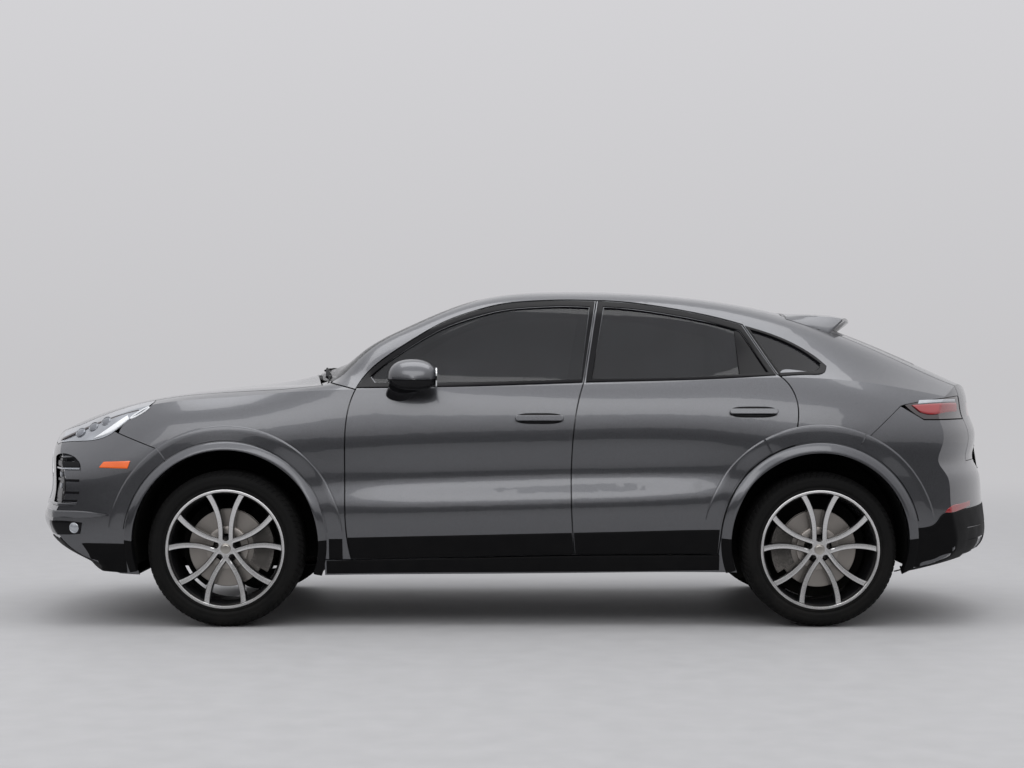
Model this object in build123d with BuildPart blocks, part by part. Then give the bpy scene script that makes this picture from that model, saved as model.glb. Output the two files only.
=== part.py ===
"""Coupe sport utility vehicle, in millimetres.

The nose points to -X, the car's left side to -Y and up is +Z. The origin is on the ground, at the middle of
the overall length. The outer skin is one lofted form; every panel is cut from it by its own shut lines.
"""
from build123d import *
import math
import os

# ---- overall sizes -------------------------------------------------------------------------------------
LENGTH = 4931.0
WIDTH = 1983.0
HEIGHT = 1676.0
WHEELBASE = 2895.0
FRONT_OVERHANG = 1049.0

# ---- wheels --------------------------------------------------------------------------------------------
FRONT_TYRE_RADIUS = 381.0
REAR_TYRE_RADIUS = 377.0
FRONT_TYRE_WIDTH = 285.0
REAR_TYRE_WIDTH = 305.0
RIM_RADIUS = 284.0
WHEEL_FACE_INSET = 26.0     # tyre's outer wall inside the body's half width

# ---- walls and gaps --------------------------------------------------------------------------------------
SKIN = 28.0                 # hood, wings, bumpers
DOOR_WALL = 112.0           # whole door, skin to trim
FRAME_WALL = 44.0           # window frames, roof and tailgate
DOOR_LIP = 16.0             # the outer layer of a door, which laps its stepped inner part
DOOR_STEP = 20.0            # how far the inner part stands back from the lip's edge
MOVING_GAP = 6.0            # shut lines round doors, hood and tailgate
FIXED_GAP = 3.0             # seams between fixed panels
SEAT_GAP = 0.3              # between a piece and what carries it
GLASS_DEPTH = 9.0           # glass below the skin
GLASS = 5.0
ARCH_FRONT = 452.0          # radius of the front wheel opening
ARCH_REAR = 430.0
ARCH_FRONT_RISE = 27.0      # opening's centre above the hub
ARCH_REAR_RISE = 42.0
LINER = 8.0

# ---- the design frame ------------------------------------------------------------------------------------
# Outlines and stations are drawn for the nominal car and stretched to the sizes above.
NOMINAL_WIDTH, NOMINAL_HEIGHT = 1983.0, 1676.0
NOMINAL_NOSE, NOMINAL_FRONT_AXLE, NOMINAL_REAR_AXLE, NOMINAL_TAIL = -2465.5, -1416.5, 1478.5, 2465.5

NOSE = -LENGTH / 2
TAIL = LENGTH / 2
FRONT_AXLE = NOSE + FRONT_OVERHANG
REAR_AXLE = FRONT_AXLE + WHEELBASE


def fit_x(x):
    """A drawn x, stretched between nose, axles and tail."""
    drawn = (NOMINAL_NOSE, NOMINAL_FRONT_AXLE, NOMINAL_REAR_AXLE, NOMINAL_TAIL)
    real = (NOSE, FRONT_AXLE, REAR_AXLE, TAIL)
    k = 0 if x < drawn[1] else 1 if x < drawn[2] else 2
    share = (x - drawn[k]) / (drawn[k + 1] - drawn[k])
    return real[k] + share * (real[k + 1] - real[k])


def fit_y(y):
    return y * WIDTH / NOMINAL_WIDTH


def fit_z(z):
    return z * HEIGHT / NOMINAL_HEIGHT


def fit_xz(points):
    return [(fit_x(x), fit_z(z)) for x, z in points]


def fit_xy(points):
    return [(fit_x(x), fit_y(y)) for x, y in points]


def fit_yz(points):
    return [(fit_y(y), fit_z(z)) for y, z in points]


# ---- the skin's feature lines: (x, half width, height) along the car ----------------------------------
SILL = [(-2465, 700, 470), (-2240, 820, 340), (-2000, 890, 262), (-1417, 915, 240), (-834, 912, 252),
        (0, 915, 258), (900, 918, 266), (1479, 920, 255), (1900, 905, 250), (2250, 850, 310), (2465, 760, 400)]
CLADDING = [(-2465, 745, 500), (-2240, 870, 450), (-2000, 940, 430), (-1417, 965, 430), (-834, 950, 438),
            (0, 950, 452), (900, 952, 474), (1479, 965, 470), (1900, 965, 450), (2250, 905, 460),
            (2465, 830, 480)]
CREASE = [(-2465, 755, 530), (-2240, 875, 540), (-2000, 948, 560), (-1417, 978, 580), (-834, 960, 600),
          (0, 963, 623), (900, 965, 650), (1479, 985, 650), (1900, 975, 640), (2250, 910, 620),
          (2465, 825, 600)]
HOLLOW = [(-2465, 755, 580), (-2240, 872, 620), (-2000, 942, 660), (-1417, 974, 700), (-1000, 946, 695),
          (-400, 930, 702), (0, 930, 712), (600, 934, 725), (900, 945, 730), (1200, 969, 735),
          (1479, 986, 735), (1900, 972, 730), (2250, 905, 720), (2465, 820, 700)]
WAIST = [(-2465, 750, 640), (-2240, 860, 730), (-2000, 925, 790), (-1417, 964, 860), (-1000, 950, 880),
         (-600, 940, 880), (0, 938, 885), (900, 950, 900), (1300, 978, 905), (1479, 984, 905),
         (1900, 968, 890), (2250, 895, 860), (2465, 800, 820)]
SHOULDER = [(-2465, 720, 740), (-2240, 810, 850), (-2088, 850, 890), (-1850, 893, 975), (-1417, 930, 1015),
            (-1000, 926, 1040), (-600, 922, 1045), (0, 922, 1055), (900, 932, 1070), (1479, 948, 1080),
            (1900, 930, 1050), (2250, 860, 1000), (2465, 760, 950)]
BELT = [(-2465, 640, 800), (-2240, 735, 925), (-2088, 775, 985), (-1850, 828, 1072), (-1417, 862, 1118),
        (-1000, 886, 1150), (-787, 893, 1157), (-100, 884, 1171), (400, 878, 1184), (900, 880, 1199),
        (1300, 888, 1216), (1600, 880, 1208), (1900, 850, 1160), (2250, 780, 1096), (2465, 700, 1040)]
PILLAR = [(-2465, 560, 822), (-2240, 665, 957), (-2088, 700, 1015), (-1850, 745, 1092), (-1417, 775, 1146),
          (-1000, 835, 1172), (-824, 838, 1200), (-620, 818, 1262), (-280, 780, 1360), (0, 771, 1392),
          (400, 770, 1405), (900, 782, 1390), (1300, 790, 1345), (1600, 785, 1290), (1900, 760, 1220),
          (2250, 700, 1130), (2465, 600, 1065)]
RAIL = [(-2465, 470, 836), (-2240, 540, 981), (-2088, 560, 1039), (-1850, 600, 1105), (-1417, 640, 1158),
        (-1060, 720, 1176), (-936, 795, 1186), (-824, 785, 1260), (-722, 770, 1322), (-620, 752, 1388),
        (-468, 722, 1464), (-280, 688, 1552), (-60, 664, 1592), (200, 652, 1612), (500, 650, 1612),
        (900, 655, 1580), (1300, 650, 1505), (1600, 640, 1410), (1900, 615, 1310), (2250, 570, 1172),
        (2465, 500, 1085)]
CROWN = [(-2465, 300, 846), (-2240, 300, 992), (-2088, 310, 1050), (-1850, 330, 1112), (-1417, 350, 1170),
         (-1060, 400, 1212), (-936, 430, 1250), (-824, 430, 1312), (-620, 420, 1424), (-407, 410, 1526),
         (-192, 400, 1606), (22, 400, 1640), (237, 400, 1655), (451, 400, 1657), (900, 400, 1619),
         (1331, 390, 1550), (1600, 380, 1472), (1900, 360, 1360), (2250, 330, 1197), (2465, 300, 1100)]
ROOF_CENTRE = [(-2465, 850), (-2380, 918), (-2240, 996), (-2100, 1052), (-1970, 1089), (-1690, 1137),
               (-1320, 1190), (-1075, 1222), (-1010, 1234), (-943, 1266), (-835, 1325), (-621, 1440),
               (-407, 1542), (-192, 1624), (22, 1659), (237, 1674), (380, 1676), (530, 1673), (773, 1654),
               (988, 1628), (1202, 1594), (1331, 1566), (1479, 1526), (1722, 1452), (1958, 1352),
               (2124, 1273), (2366, 1151), (2465, 1102)]
SIDE_LINES = (SILL, CLADDING, CREASE, HOLLOW, WAIST, SHOULDER, BELT, PILLAR, RAIL, CROWN)
STATIONS = (-2520, -2300, -2070, -1800, -1417, -1100, -936, -760, -540, -220, 220, 800, 1340, 1790, 2180,
            2520)


def follow(knots, x):
    """Value of a smooth curve through (x, value) knots that never overshoots them."""
    if x <= knots[0][0] or x >= knots[-1][0]:
        (xa, va), (xb, vb) = knots[:2] if x <= knots[0][0] else knots[-2:]
        return va + (vb - va) * (x - xa) / (xb - xa)
    k = max(i for i in range(len(knots) - 1) if knots[i][0] <= x)

    def slope(i):
        return (knots[i + 1][1] - knots[i][1]) / (knots[i + 1][0] - knots[i][0])

    def tangent(i):
        if i == 0:
            return slope(0)
        if i == len(knots) - 1:
            return slope(i - 1)
        before, after = slope(i - 1), slope(i)
        return 2 * before * after / (before + after) if before * after > 0 else 0.0

    (xa, va), (xb, vb) = knots[k], knots[k + 1]
    run = xb - xa
    t = (x - xa) / run
    return ((2 * t**3 - 3 * t**2 + 1) * va + (t**3 - 2 * t**2 + t) * run * tangent(k)
            + (3 * t**2 - 2 * t**3) * vb + (t**3 - t**2) * run * tangent(k + 1))


def half_section(x):
    """The skin's feature points (half width, height) at a drawn x, from the sill to the centreline."""
    points = [(follow([(k[0], k[1]) for k in line], x), follow([(k[0], k[2]) for k in line], x))
              for line in SIDE_LINES]
    return points + [(0.0, follow(ROOF_CENTRE, x))]


def inset_section(x, walls):
    """The section moved inwards by a wall for each feature point, in real millimetres."""
    points = [(fit_y(y), fit_z(z)) for y, z in half_section(x)]
    moved = []
    for k, (y, z) in enumerate(points):
        before = points[max(k - 1, 0)]
        after = points[k + 1] if k + 1 < len(points) else (-points[k - 1][0], points[k - 1][1])
        ty, tz = after[0] - before[0], after[1] - before[1]
        size = math.hypot(ty, tz)
        moved.append((y - walls[k] * tz / size, z + walls[k] * ty / size))
    return moved


def lofted_form(walls, end_wall, first=STATIONS[0]):
    """The solid inside the skin, with each feature line moved in by its wall and both ends by end_wall."""
    with BuildPart() as form:
        for station in (s for s in STATIONS if s >= first):
            points = inset_section(station, walls)
            if walls[0] > 0:
                points[0] = (points[0][0], points[0][1] - INNER_DROP)
            other = [(-y, z) for y, z in reversed(points[:-1])]
            with BuildSketch(Plane.YZ.offset(fit_x(station))):
                with BuildLine():
                    Spline(*points[:7])
                    Spline(*points[6:], *other[:4])
                    Spline(*other[3:])
                    Line(other[-1], points[0])
                make_face()
        loft()
        if first < FRONT_AXLE:
            add(beyond_end(NOSE_PROFILE, NOSE_BOW, -1, end_wall), mode=Mode.SUBTRACT)
        add(beyond_end(TAIL_PROFILE, TAIL_BOW, 1, end_wall), mode=Mode.SUBTRACT)
    return form.part


def beyond_end(profile, bow, side, wall):
    """What lies past the nose (side -1) or tail (side 1): a block less a form that bows in plan."""
    points = [(x - side * wall, z) for x, z in fit_xz(profile)]
    bottom, top = points[0][1], points[-1][1]
    axis_x = side * (LENGTH / 2 - bow)
    with BuildPart() as end:
        with BuildSketch(Plane.XZ):
            with BuildLine():
                Spline(*points)
                Polyline(points[-1], (axis_x, top), (axis_x, bottom), points[0])
            make_face()
        revolve(axis=Axis((axis_x, 0, 0), (0, 0, 1)), revolution_arc=360)
    depth = 700
    with BuildPart() as beyond:
        with Locations((side * (LENGTH / 2 + 100 - depth / 2), 0, (bottom + top) / 2)):
            Box(depth, 2.5 * WIDTH, top - bottom)
        add(end.part, mode=Mode.SUBTRACT)
    return beyond.part


def grown(stretches, amount):
    """A closed outline of stretches, moved outwards by amount (inwards if it is negative)."""
    ring = [p for stretch in stretches for p in stretch[:-1]]
    count = len(ring)
    area = sum(ring[i][0] * ring[(i + 1) % count][1] - ring[(i + 1) % count][0] * ring[i][1]
               for i in range(count))
    turn = 1 if area > 0 else -1
    moved = []
    for i, (x, z) in enumerate(ring):
        (xa, za), (xb, zb) = ring[i - 1], ring[(i + 1) % count]
        before = math.hypot(x - xa, z - za)
        after = math.hypot(xb - x, zb - z)
        ax, az = turn * (z - za) / before, -turn * (x - xa) / before
        bx, bz = turn * (zb - z) / after, -turn * (xb - x) / after
        share = max(1 + ax * bx + az * bz, 0.5)
        moved.append((x + amount * (ax + bx) / share, z + amount * (az + bz) / share))
    result, start = [], 0
    for stretch in stretches:
        picks = [moved[(start + k) % count] for k in range(len(stretch))]
        result.append(picks)
        start += len(stretch) - 1
    return result


def closed(*points):
    """Straight stretches round a closed polygon."""
    return [[points[k], points[(k + 1) % len(points)]] for k in range(len(points))]


def prism(plane, stretches, amount, both=False):
    """A solid of one outline, with a line for each two-point stretch and a spline for each longer one."""
    with BuildPart() as block:
        with BuildSketch(plane):
            with BuildLine():
                for stretch in stretches:
                    if len(stretch) == 2:
                        Line(*stretch)
                    else:
                        Spline(*stretch)
            make_face()
        extrude(amount=amount, both=both)
    return block.part


def side_block(stretches, growth=0.0, inner=0.0):
    """An outline seen from the left side, carried from the half width inner out past the left skin."""
    real = grown([fit_xz(stretch) for stretch in stretches], growth)
    return prism(Plane.XZ.offset(inner), real, WIDTH)


def top_block(half, growth=0.0, low=0.0, high=2000.0):
    """A half outline seen from above, mirrored across the centreline and carried from low to high."""
    real = fit_xy(half)
    ring = real + [(x, -y) for x, y in reversed(real) if y > 0]
    return prism(Plane.XY.offset(low), grown(closed(*ring), growth), high - low)


def arch(axle, radius, rise, hub, inner, growth=0.0):
    """The left wheel opening: a cylinder from the half width inner out past the skin."""
    with BuildPart() as opening:
        with BuildSketch(Plane.XZ.offset(inner)):
            with Locations((axle, hub + rise)):
                Circle(radius + growth)
        extrude(amount=WIDTH)
    return opening.part


def block(low, high):
    """A box between two opposite corners."""
    size = [h - l for l, h in zip(low, high)]
    with BuildPart() as box:
        with Locations(tuple((l + h) / 2 for l, h in zip(low, high))):
            Box(*size)
    return box.part


def cut_piece(start, keep=(), remove=(), join=()):
    """A solid kept to some blocks, less others, with more joined on."""
    with BuildPart() as piece:
        add(start)
        for solid in keep:
            add(solid, mode=Mode.INTERSECT)
        for solid in remove:
            add(solid, mode=Mode.SUBTRACT)
        for solid in join:
            add(solid)
    return piece.part


def mirrored(solid):
    """The same piece on the car's other side."""
    with BuildPart() as other:
        add(solid)
        mirror(about=Plane.XZ, mode=Mode.REPLACE)
    return other.part


def save(label, *solids):
    """Label one piece, or some like pieces that stay apart, and write them to the parts folder."""
    with BuildPart() as piece:
        for solid in solids:
            add(solid)
    piece.part.label = label
    export_step(piece.part, f"parts/{label}.step")


def save_pair(label, left):
    save(f"{label}_left", left)
    save(f"{label}_right", mirrored(left))


# ---- shut lines ------------------------------------------------------------------------------------------
NOSE_PROFILE = [(-2120, 200), (-2253, 300), (-2380, 375), (-2440, 445), (-2465.5, 515), (-2448, 575),
                (-2425, 650), (-2424, 750), (-2416, 860), (-2375, 940), (-2290, 1010)]
TAIL_PROFILE = [(2090, 225), (2270, 278), (2390, 322), (2450, 374), (2465.5, 440), (2455, 560),
                (2448, 674), (2436, 738), (2408, 803), (2418, 883), (2416, 953), (2388, 1033),
                (2376, 1114), (2350, 1190), (2290, 1270)]
FRONT_EDGE = [(-787, 1157), (-815, 1084), (-829, 1010), (-836, 853), (-834, 619), (-824, 433), (-804, 327)]
B_LOWER = [(285, 349), (274, 470), (268, 620), (272, 840), (296, 1060), (332, 1193)]
B_UPPER = [(332, 1193), (402, 1602)]
FRONT_TOP = [(402, 1602), (263, 1605), (71, 1599), (-71, 1584), (-215, 1547), (-358, 1494), (-501, 1413),
             (-645, 1317), (-741, 1231), (-787, 1157)]
FRONT_DOOR = [FRONT_EDGE, [(-804, 327), (-79, 342), (285, 349)], B_LOWER, B_UPPER, FRONT_TOP]
REAR_TOP = [(1128, 1480), (1085, 1493), (933, 1531), (778, 1561), (576, 1591), (402, 1602)]
REAR_EDGE = [(1128, 1480), (1278, 1232), (1352, 1150), (1372, 1074), (1362, 955), (1349, 884)]
REAR_ARCH_EDGE = [(1349, 884), (1245, 843), (1130, 755), (1040, 622), (1000, 480)]
REAR_DOOR = [B_LOWER, B_UPPER, list(reversed(REAR_TOP)), [REAR_EDGE[0], REAR_EDGE[1]], REAR_EDGE[1:],
             REAR_ARCH_EDGE, [(1000, 480), (985, 352)], [(985, 352), (602, 351), (285, 349)]]
FRONT_WINDOW = [[(-690, 1190), (-300, 1192), (318, 1207)], [(318, 1207), (365, 1566)],
                [(365, 1566), (263, 1570), (71, 1564), (-71, 1549), (-215, 1512), (-358, 1460), (-501, 1380),
                 (-630, 1292), (-715, 1222)], [(-715, 1222), (-690, 1190)]]
REAR_WINDOW = [[(372, 1209), (760, 1214), (1235, 1240)], [(1235, 1240), (1112, 1446)],
               [(1112, 1446), (933, 1496), (778, 1526), (576, 1556), (438, 1566)], [(438, 1566), (372, 1209)]]
QUARTER_WINDOW = [[(1165, 1452), (1188, 1446), (1330, 1394), (1432, 1338), (1500, 1284)],
                  [(1500, 1284), (1490, 1262), (1440, 1246), (1296, 1238)], [(1296, 1238), (1165, 1452)]]
HEADLAMP = [[(-2300, 882), (-2154, 901), (-2058, 911), (-1993, 936), (-1923, 994), (-1853, 1039),
             (-1790, 1093)], [(-1790, 1093), (-1790, 1300)], [(-1790, 1300), (-2330, 1300)],
            [(-2330, 1300), (-2330, 890)], [(-2330, 890), (-2300, 882)]]
SIDE_INTAKE = [[(-2300, 821), (-2178, 829), (-2140, 800), (-2130, 720), (-2136, 630), (-2163, 589)],
               [(-2163, 589), (-2300, 584)], [(-2300, 584), (-2300, 821)]]
LAMP_TOP = [(1896, 1082), (1966, 1095), (2183, 1121), (2600, 1137)]
TAIL_LAMP = [LAMP_TOP, [(2600, 1137), (2600, 1011)], [(2600, 1011), (1990, 1011)],
             [(1990, 1011), (1942, 1040), (1896, 1082)]]
FENDER = [FRONT_EDGE, [(-804, 327), (-960, 327)], [(-960, 327), (-1416, 420)], [(-1416, 420), (-1755, 868)],
          [(-1755, 868), (-1953, 942)], [(-1953, 942), (-1923, 994), (-1853, 1039), (-1790, 1093)],
          [(-1790, 1093), (-1790, 1300)], [(-1790, 1300), (-925, 1300)], [(-925, 1300), (-915, 1190)],
          [(-915, 1190), (-787, 1157)]]
FRONT_BUMPER = closed((-2600, 180), (-1416, 180), (-1416, 420), (-1755, 868), (-1953, 942), (-2070, 1000),
                      (-2600, 1000))
REAR_BUMPER = closed((1478, 200), (2600, 200), (2600, 1008), (1990, 1008), (1942, 1037), (1876, 1076),
                     (1662, 880), (1478, 419))
QUARTER = (closed((-935, 200), (-935, 330), (-905, 345), (-905, 1140), (-915, 1190), (-915, 1400),
                  (-800, 1800), (2600, 1800), (2600, 1137))[:-1] + [list(reversed(LAMP_TOP))]
           + closed((1896, 1082), (1876, 1076), (1662, 880), (1478, 419), (1478, 200), (-935, 200))[:-1])
HOOD = [(-2397, 0), (-2388, 220), (-2350, 430), (-2268, 600), (-2180, 672), (-2060, 700), (-1900, 728),
        (-1790, 752), (-1417, 790), (-1150, 836), (-955, 838), (-985, 600), (-1030, 300), (-1048, 0)]
SCREEN_SIDE = [(-905, 778), (-620, 704), (-240, 622), (-190, 600)]
SCREEN_TOP = [(-190, 600), (-176, 300), (-172, 0)]
CENTRE_ZONE = ([(-1100, 0), (-1100, 900), (-935, 900)] + SCREEN_SIDE
               + [(1342, 600), (1342, 566), (1600, 581), (1900, 606), (2124, 631), (2600, 646), (2600, 0)])
WINDSHIELD = [(-1034, 0), (-1016, 300), (-971, 600)] + SCREEN_SIDE + SCREEN_TOP[1:]
ROOF = list(reversed(SCREEN_TOP)) + [(1342, 600), (1342, 0)]
ROOF_GLASS = [(-60, 0), (-66, 300), (-82, 460), (-50, 490), (880, 490), (900, 440), (905, 0)]
TAILGATE = [(1345, 0), (1345, 563), (1600, 578), (1900, 603), (2124, 628), (2600, 643), (2600, 0)]
REAR_GLASS = [(1400, 0), (1404, 300), (1420, 500), (1700, 525), (2020, 552), (2046, 300), (2052, 0)]
INNER_DROP = 90.0
NOSE_BOW = 2050.0
TAIL_BOW = 1500.0
TAILGATE_BOTTOM = 800.0
FLANGE = 40.0
FLANGE_WALL = 165.0
HOOD_LOW = 860.0
SEAL_GAP = 8.0                # between a door's inner face and the flange behind it
HUB_FLANGE = 70.0


def walls(below, above, roof=None):
    """Walls for the feature lines: one up to the belt, one above it, and one for the roof."""
    roof = above if roof is None else roof
    return [below] * 7 + [(below + 2 * above) / 3] + [above] * 2 + [roof]


def even(wall):
    return walls(wall, wall)


# ---- the forms that panels are cut from -------------------------------------------------------------------
os.makedirs("parts", exist_ok=True)
MID = -1180
outer = lofted_form(even(0), 0)
skin_inner = lofted_form(even(SKIN), SKIN)
liner_limit = lofted_form(even(SKIN + SEAT_GAP), SKIN + SEAT_GAP)
cover = lofted_form(even(SKIN + MOVING_GAP), SKIN + MOVING_GAP)
lip_inner = lofted_form(even(DOOR_LIP), DOOR_LIP)
door_inner = lofted_form(walls(DOOR_WALL, FRAME_WALL), FRAME_WALL, MID)
aperture_inner = lofted_form(walls(DOOR_WALL + SEAL_GAP, FRAME_WALL + SEAL_GAP), FRAME_WALL, MID)
frame_inner = lofted_form(walls(FLANGE_WALL, FRAME_WALL + 24), FRAME_WALL, MID)
floor_limit = lofted_form(walls(FLANGE_WALL + SEAT_GAP, FRAME_WALL + 24), FRAME_WALL, MID)
gate_inner = lofted_form(even(FRAME_WALL), FRAME_WALL, MID)
glass_outer = lofted_form(even(GLASS_DEPTH), GLASS_DEPTH)
glass_inner = lofted_form(even(GLASS_DEPTH + GLASS), GLASS_DEPTH + GLASS)
flush_glass_inner = lofted_form(even(GLASS), GLASS)

# ---- openings and outlines shared by several pieces -------------------------------------------------------
half = MOVING_GAP / 2
seam = FIXED_GAP / 2
left_side = block((NOSE - 200, -WIDTH, 0), (TAIL + 200, 0, 2 * HEIGHT))
front_arch = arch(FRONT_AXLE, ARCH_FRONT, ARCH_FRONT_RISE, FRONT_TYRE_RADIUS, 480)
front_room = arch(FRONT_AXLE, ARCH_FRONT, ARCH_FRONT_RISE, FRONT_TYRE_RADIUS, 480, LINER + SEAT_GAP)
rear_arch = arch(REAR_AXLE, ARCH_REAR, ARCH_REAR_RISE, REAR_TYRE_RADIUS, 600)
bonnet_gap = top_block(HOOD, half, fit_z(HOOD_LOW))
gate_gap = top_block(TAILGATE, half, fit_z(TAILGATE_BOTTOM) - half)
headlamp_gap = side_block(HEADLAMP, seam, fit_y(430))
tail_lamp_gap = side_block(TAIL_LAMP, seam, fit_y(646))
centre_gap = top_block(CENTRE_ZONE)

# ---- bonnet, wings and bumpers ----------------------------------------------------------------------------
hood = cut_piece(outer, [top_block(HOOD, -half, fit_z(HOOD_LOW))], [skin_inner])
save("hood", hood)

front_wing = cut_piece(outer, [side_block(FENDER, -half, fit_y(715))],
                       [skin_inner, front_arch, bonnet_gap, top_block(WINDSHIELD, half)])
save("front_wings", front_wing, mirrored(front_wing))

TOW_HALF = 450
TOW_HEIGHT = 520
TOW_COVER = 24
GRILLE = [(0, 560), (330, 566), (395, 600), (430, 720), (400, 828), (360, 848), (0, 852)]
LOWER_INTAKE = [(0, 335), (560, 345), (640, 400), (600, 452), (0, 462)]


def nose_block(half_outline, growth=0.0):
    """A half outline seen from the front, mirrored, and carried back through the nose."""
    real = fit_yz(half_outline)
    ring = real + [(-y, z) for y, z in reversed(real) if y > 0]
    front = Plane(origin=(NOSE - 100, 0, 0), x_dir=(0, 1, 0), z_dir=(1, 0, 0))
    return prism(front, grown(closed(*ring), growth), 400)


intake_floor = lofted_form(even(SKIN / 2), SKIN / 2)
intake_pocket = cut_piece(intake_floor, [side_block(SIDE_INTAKE, 0, fit_y(560))])
intake_cut = cut_piece(outer, [side_block(SIDE_INTAKE, 0, fit_y(560))], [intake_pocket])
with BuildPart() as tow_hole:
    with BuildSketch(Plane(origin=(NOSE - 50, -TOW_HALF, TOW_HEIGHT), x_dir=(0, 1, 0), z_dir=(1, 0, 0))):
        Circle(TOW_COVER)
    extrude(amount=fit_x(-2360) - NOSE + 50)
front_bumper = cut_piece(outer, [side_block(FRONT_BUMPER, -seam)],
                         [skin_inner, front_arch, bonnet_gap, headlamp_gap, intake_cut])
grille_hole = nose_block(GRILLE)
lower_hole = nose_block(LOWER_INTAKE)
save("front_bumper", cut_piece(front_bumper, [], [grille_hole, lower_hole, tow_hole.part], [
    cut_piece(mirrored(front_bumper), [], [grille_hole, lower_hole])]))

grille_back = lofted_form(even(SKIN - 10), SKIN - 10)
grille = cut_piece(grille_back, [nose_block(GRILLE, -SEAT_GAP)], [skin_inner])
lower_grille = cut_piece(grille_back, [nose_block(LOWER_INTAKE, -SEAT_GAP)], [skin_inner])
save("front_grille", grille, lower_grille)

lamp_inner = lofted_form(even(70), 70)
headlamp = cut_piece(outer, [side_block(HEADLAMP, -seam, fit_y(430) + FIXED_GAP)], [lamp_inner, bonnet_gap])
save("headlamps", headlamp, mirrored(headlamp))

rear_skin = cut_piece(outer, [side_block(REAR_BUMPER, -seam)], [skin_inner, rear_arch, gate_gap,
                                                              tail_lamp_gap])

lamp_back = lofted_form(even(60), 60, MID)
tail_lamp = cut_piece(outer, [side_block(TAIL_LAMP, -seam, fit_y(646) + FIXED_GAP)], [lamp_back, gate_gap])
lug_zone = block((fit_x(2050), -WIDTH, fit_z(1080)), (fit_x(2080), -fit_y(700), HEIGHT))
lug = cut_piece(gate_inner, [side_block(TAIL_LAMP, seam - SEAT_GAP), lug_zone], [lamp_back])
tail_lamp = cut_piece(tail_lamp, [], [], [lug])
save("tail_lamps", tail_lamp, mirrored(tail_lamp))

# ---- body sides, roof and glass ---------------------------------------------------------------------------
door_openings = []
for outline in (FRONT_DOOR, REAR_DOOR):
    door_openings.append(cut_piece(outer, [side_block(outline, half)], [aperture_inner]))
    door_openings.append(side_block(outline, -FLANGE))
wing_cover = cut_piece(outer, [side_block(FENDER, half)], [cover])
quarter_hole = side_block(QUARTER_WINDOW)
bulkhead = FRONT_AXLE + ARCH_FRONT + LINER + SEAT_GAP
ahead = block((NOSE, -WIDTH, 0), (bulkhead, 0, fit_z(330)))
body_side = cut_piece(outer, [left_side, side_block(QUARTER, -seam)],
                      [frame_inner, centre_gap, front_room, ahead, rear_arch, wing_cover, quarter_hole]
                      + door_openings)
pad_outer = lofted_form(walls(DOOR_WALL + SEAT_GAP, FRAME_WALL + SEAT_GAP), FRAME_WALL, MID)
pad_inner = lofted_form(walls(DOOR_WALL + SEAL_GAP + 4, FRAME_WALL + SEAL_GAP + 4), FRAME_WALL, MID)
PAD_WIDTH, PAD_HEIGHT = 11, 50
pads = []
for x, z in ((231, 705), (1325, 930)):
    pad_zone = block((fit_x(x), -WIDTH, fit_z(z)), (fit_x(x) + PAD_WIDTH, 0, fit_z(z) + PAD_HEIGHT))
    pads.append(cut_piece(pad_outer, [pad_zone], [pad_inner]))
save_pair("body_side", cut_piece(body_side, [], [], pads))

quarter_glass = cut_piece(glass_outer, [side_block(QUARTER_WINDOW, -2 * SEAT_GAP)], [glass_inner])
save("quarter_glass", quarter_glass, mirrored(quarter_glass))

roof_hole = top_block(ROOF_GLASS)
high = block((NOSE, -WIDTH, fit_z(1000)), (TAIL, WIDTH, 2 * HEIGHT))
save("roof_panel", cut_piece(outer, [high, top_block(ROOF, -SEAT_GAP)], [frame_inner, roof_hole]))
save("roof_glass", cut_piece(outer, [high, top_block(ROOF_GLASS, -SEAT_GAP)], [flush_glass_inner]))
save("windshield", cut_piece(outer, [high, top_block(WINDSHIELD, -SEAT_GAP)], [flush_glass_inner]))

# ---- tailgate ---------------------------------------------------------------------------------------------
gate_region = top_block(TAILGATE, -half, fit_z(TAILGATE_BOTTOM))
glass_hole = top_block(REAR_GLASS, 0, fit_z(1100))
tailgate = cut_piece(outer, [gate_region], [gate_inner, glass_hole])
save("rear_glass", cut_piece(outer, [top_block(REAR_GLASS, -SEAT_GAP, fit_z(1100))], [flush_glass_inner]))


SPOILER_FRONT = 1362
SPOILER_EDGE = [(1665, 556), (1710, 400), (1742, 230), (1757, 0)]
SPOILER_FALL = ((1345, 0), (1480, 0.5), (1600, 7.5), (1680, 21), (1765, 54))
SPOILER_UNDER = ((1590, 167), (1765, 76))


def roof_slab(falls, smooth=True):
    """The roof's section at the spoiler's front, put down by each (x, fall), as a solid under it."""
    points = inset_section(SPOILER_FALL[0][0], even(0))[8:]
    mirrored_points = [(-y, z) for y, z in reversed(points[:-1])]
    depth = 300
    with BuildPart() as slab:
        for x, fall in falls:
            with BuildSketch(Plane.YZ.offset(fit_x(x))):
                section = [(y, z - fall) for y, z in points + mirrored_points]
                with BuildLine():
                    Spline(*section)
                    Polyline(section[-1], (section[-1][0], section[-1][1] - depth),
                             (section[0][0], section[0][1] - depth), section[0])
                make_face()
        loft(ruled=not smooth)
    return slab.part


def spoiler_plan():
    """The spoiler seen from above, with its bowed trailing edge, as a tall block."""
    edge = fit_xy(SPOILER_EDGE)
    edge = edge + [(x, -y) for x, y in reversed(edge[:-1])]
    left, right = (fit_x(SPOILER_FRONT), edge[-1][1]), (fit_x(SPOILER_FRONT), edge[0][1])
    return prism(Plane.XY, [edge, [edge[-1], left], [left, right], [right, edge[0]]], 2 * HEIGHT)


grip_seat = lofted_form(even(-SEAT_GAP), -SEAT_GAP)
save("roof_spoiler", cut_piece(roof_slab(SPOILER_FALL), [spoiler_plan()],
                               [roof_slab(SPOILER_UNDER, False), grip_seat]))

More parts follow.
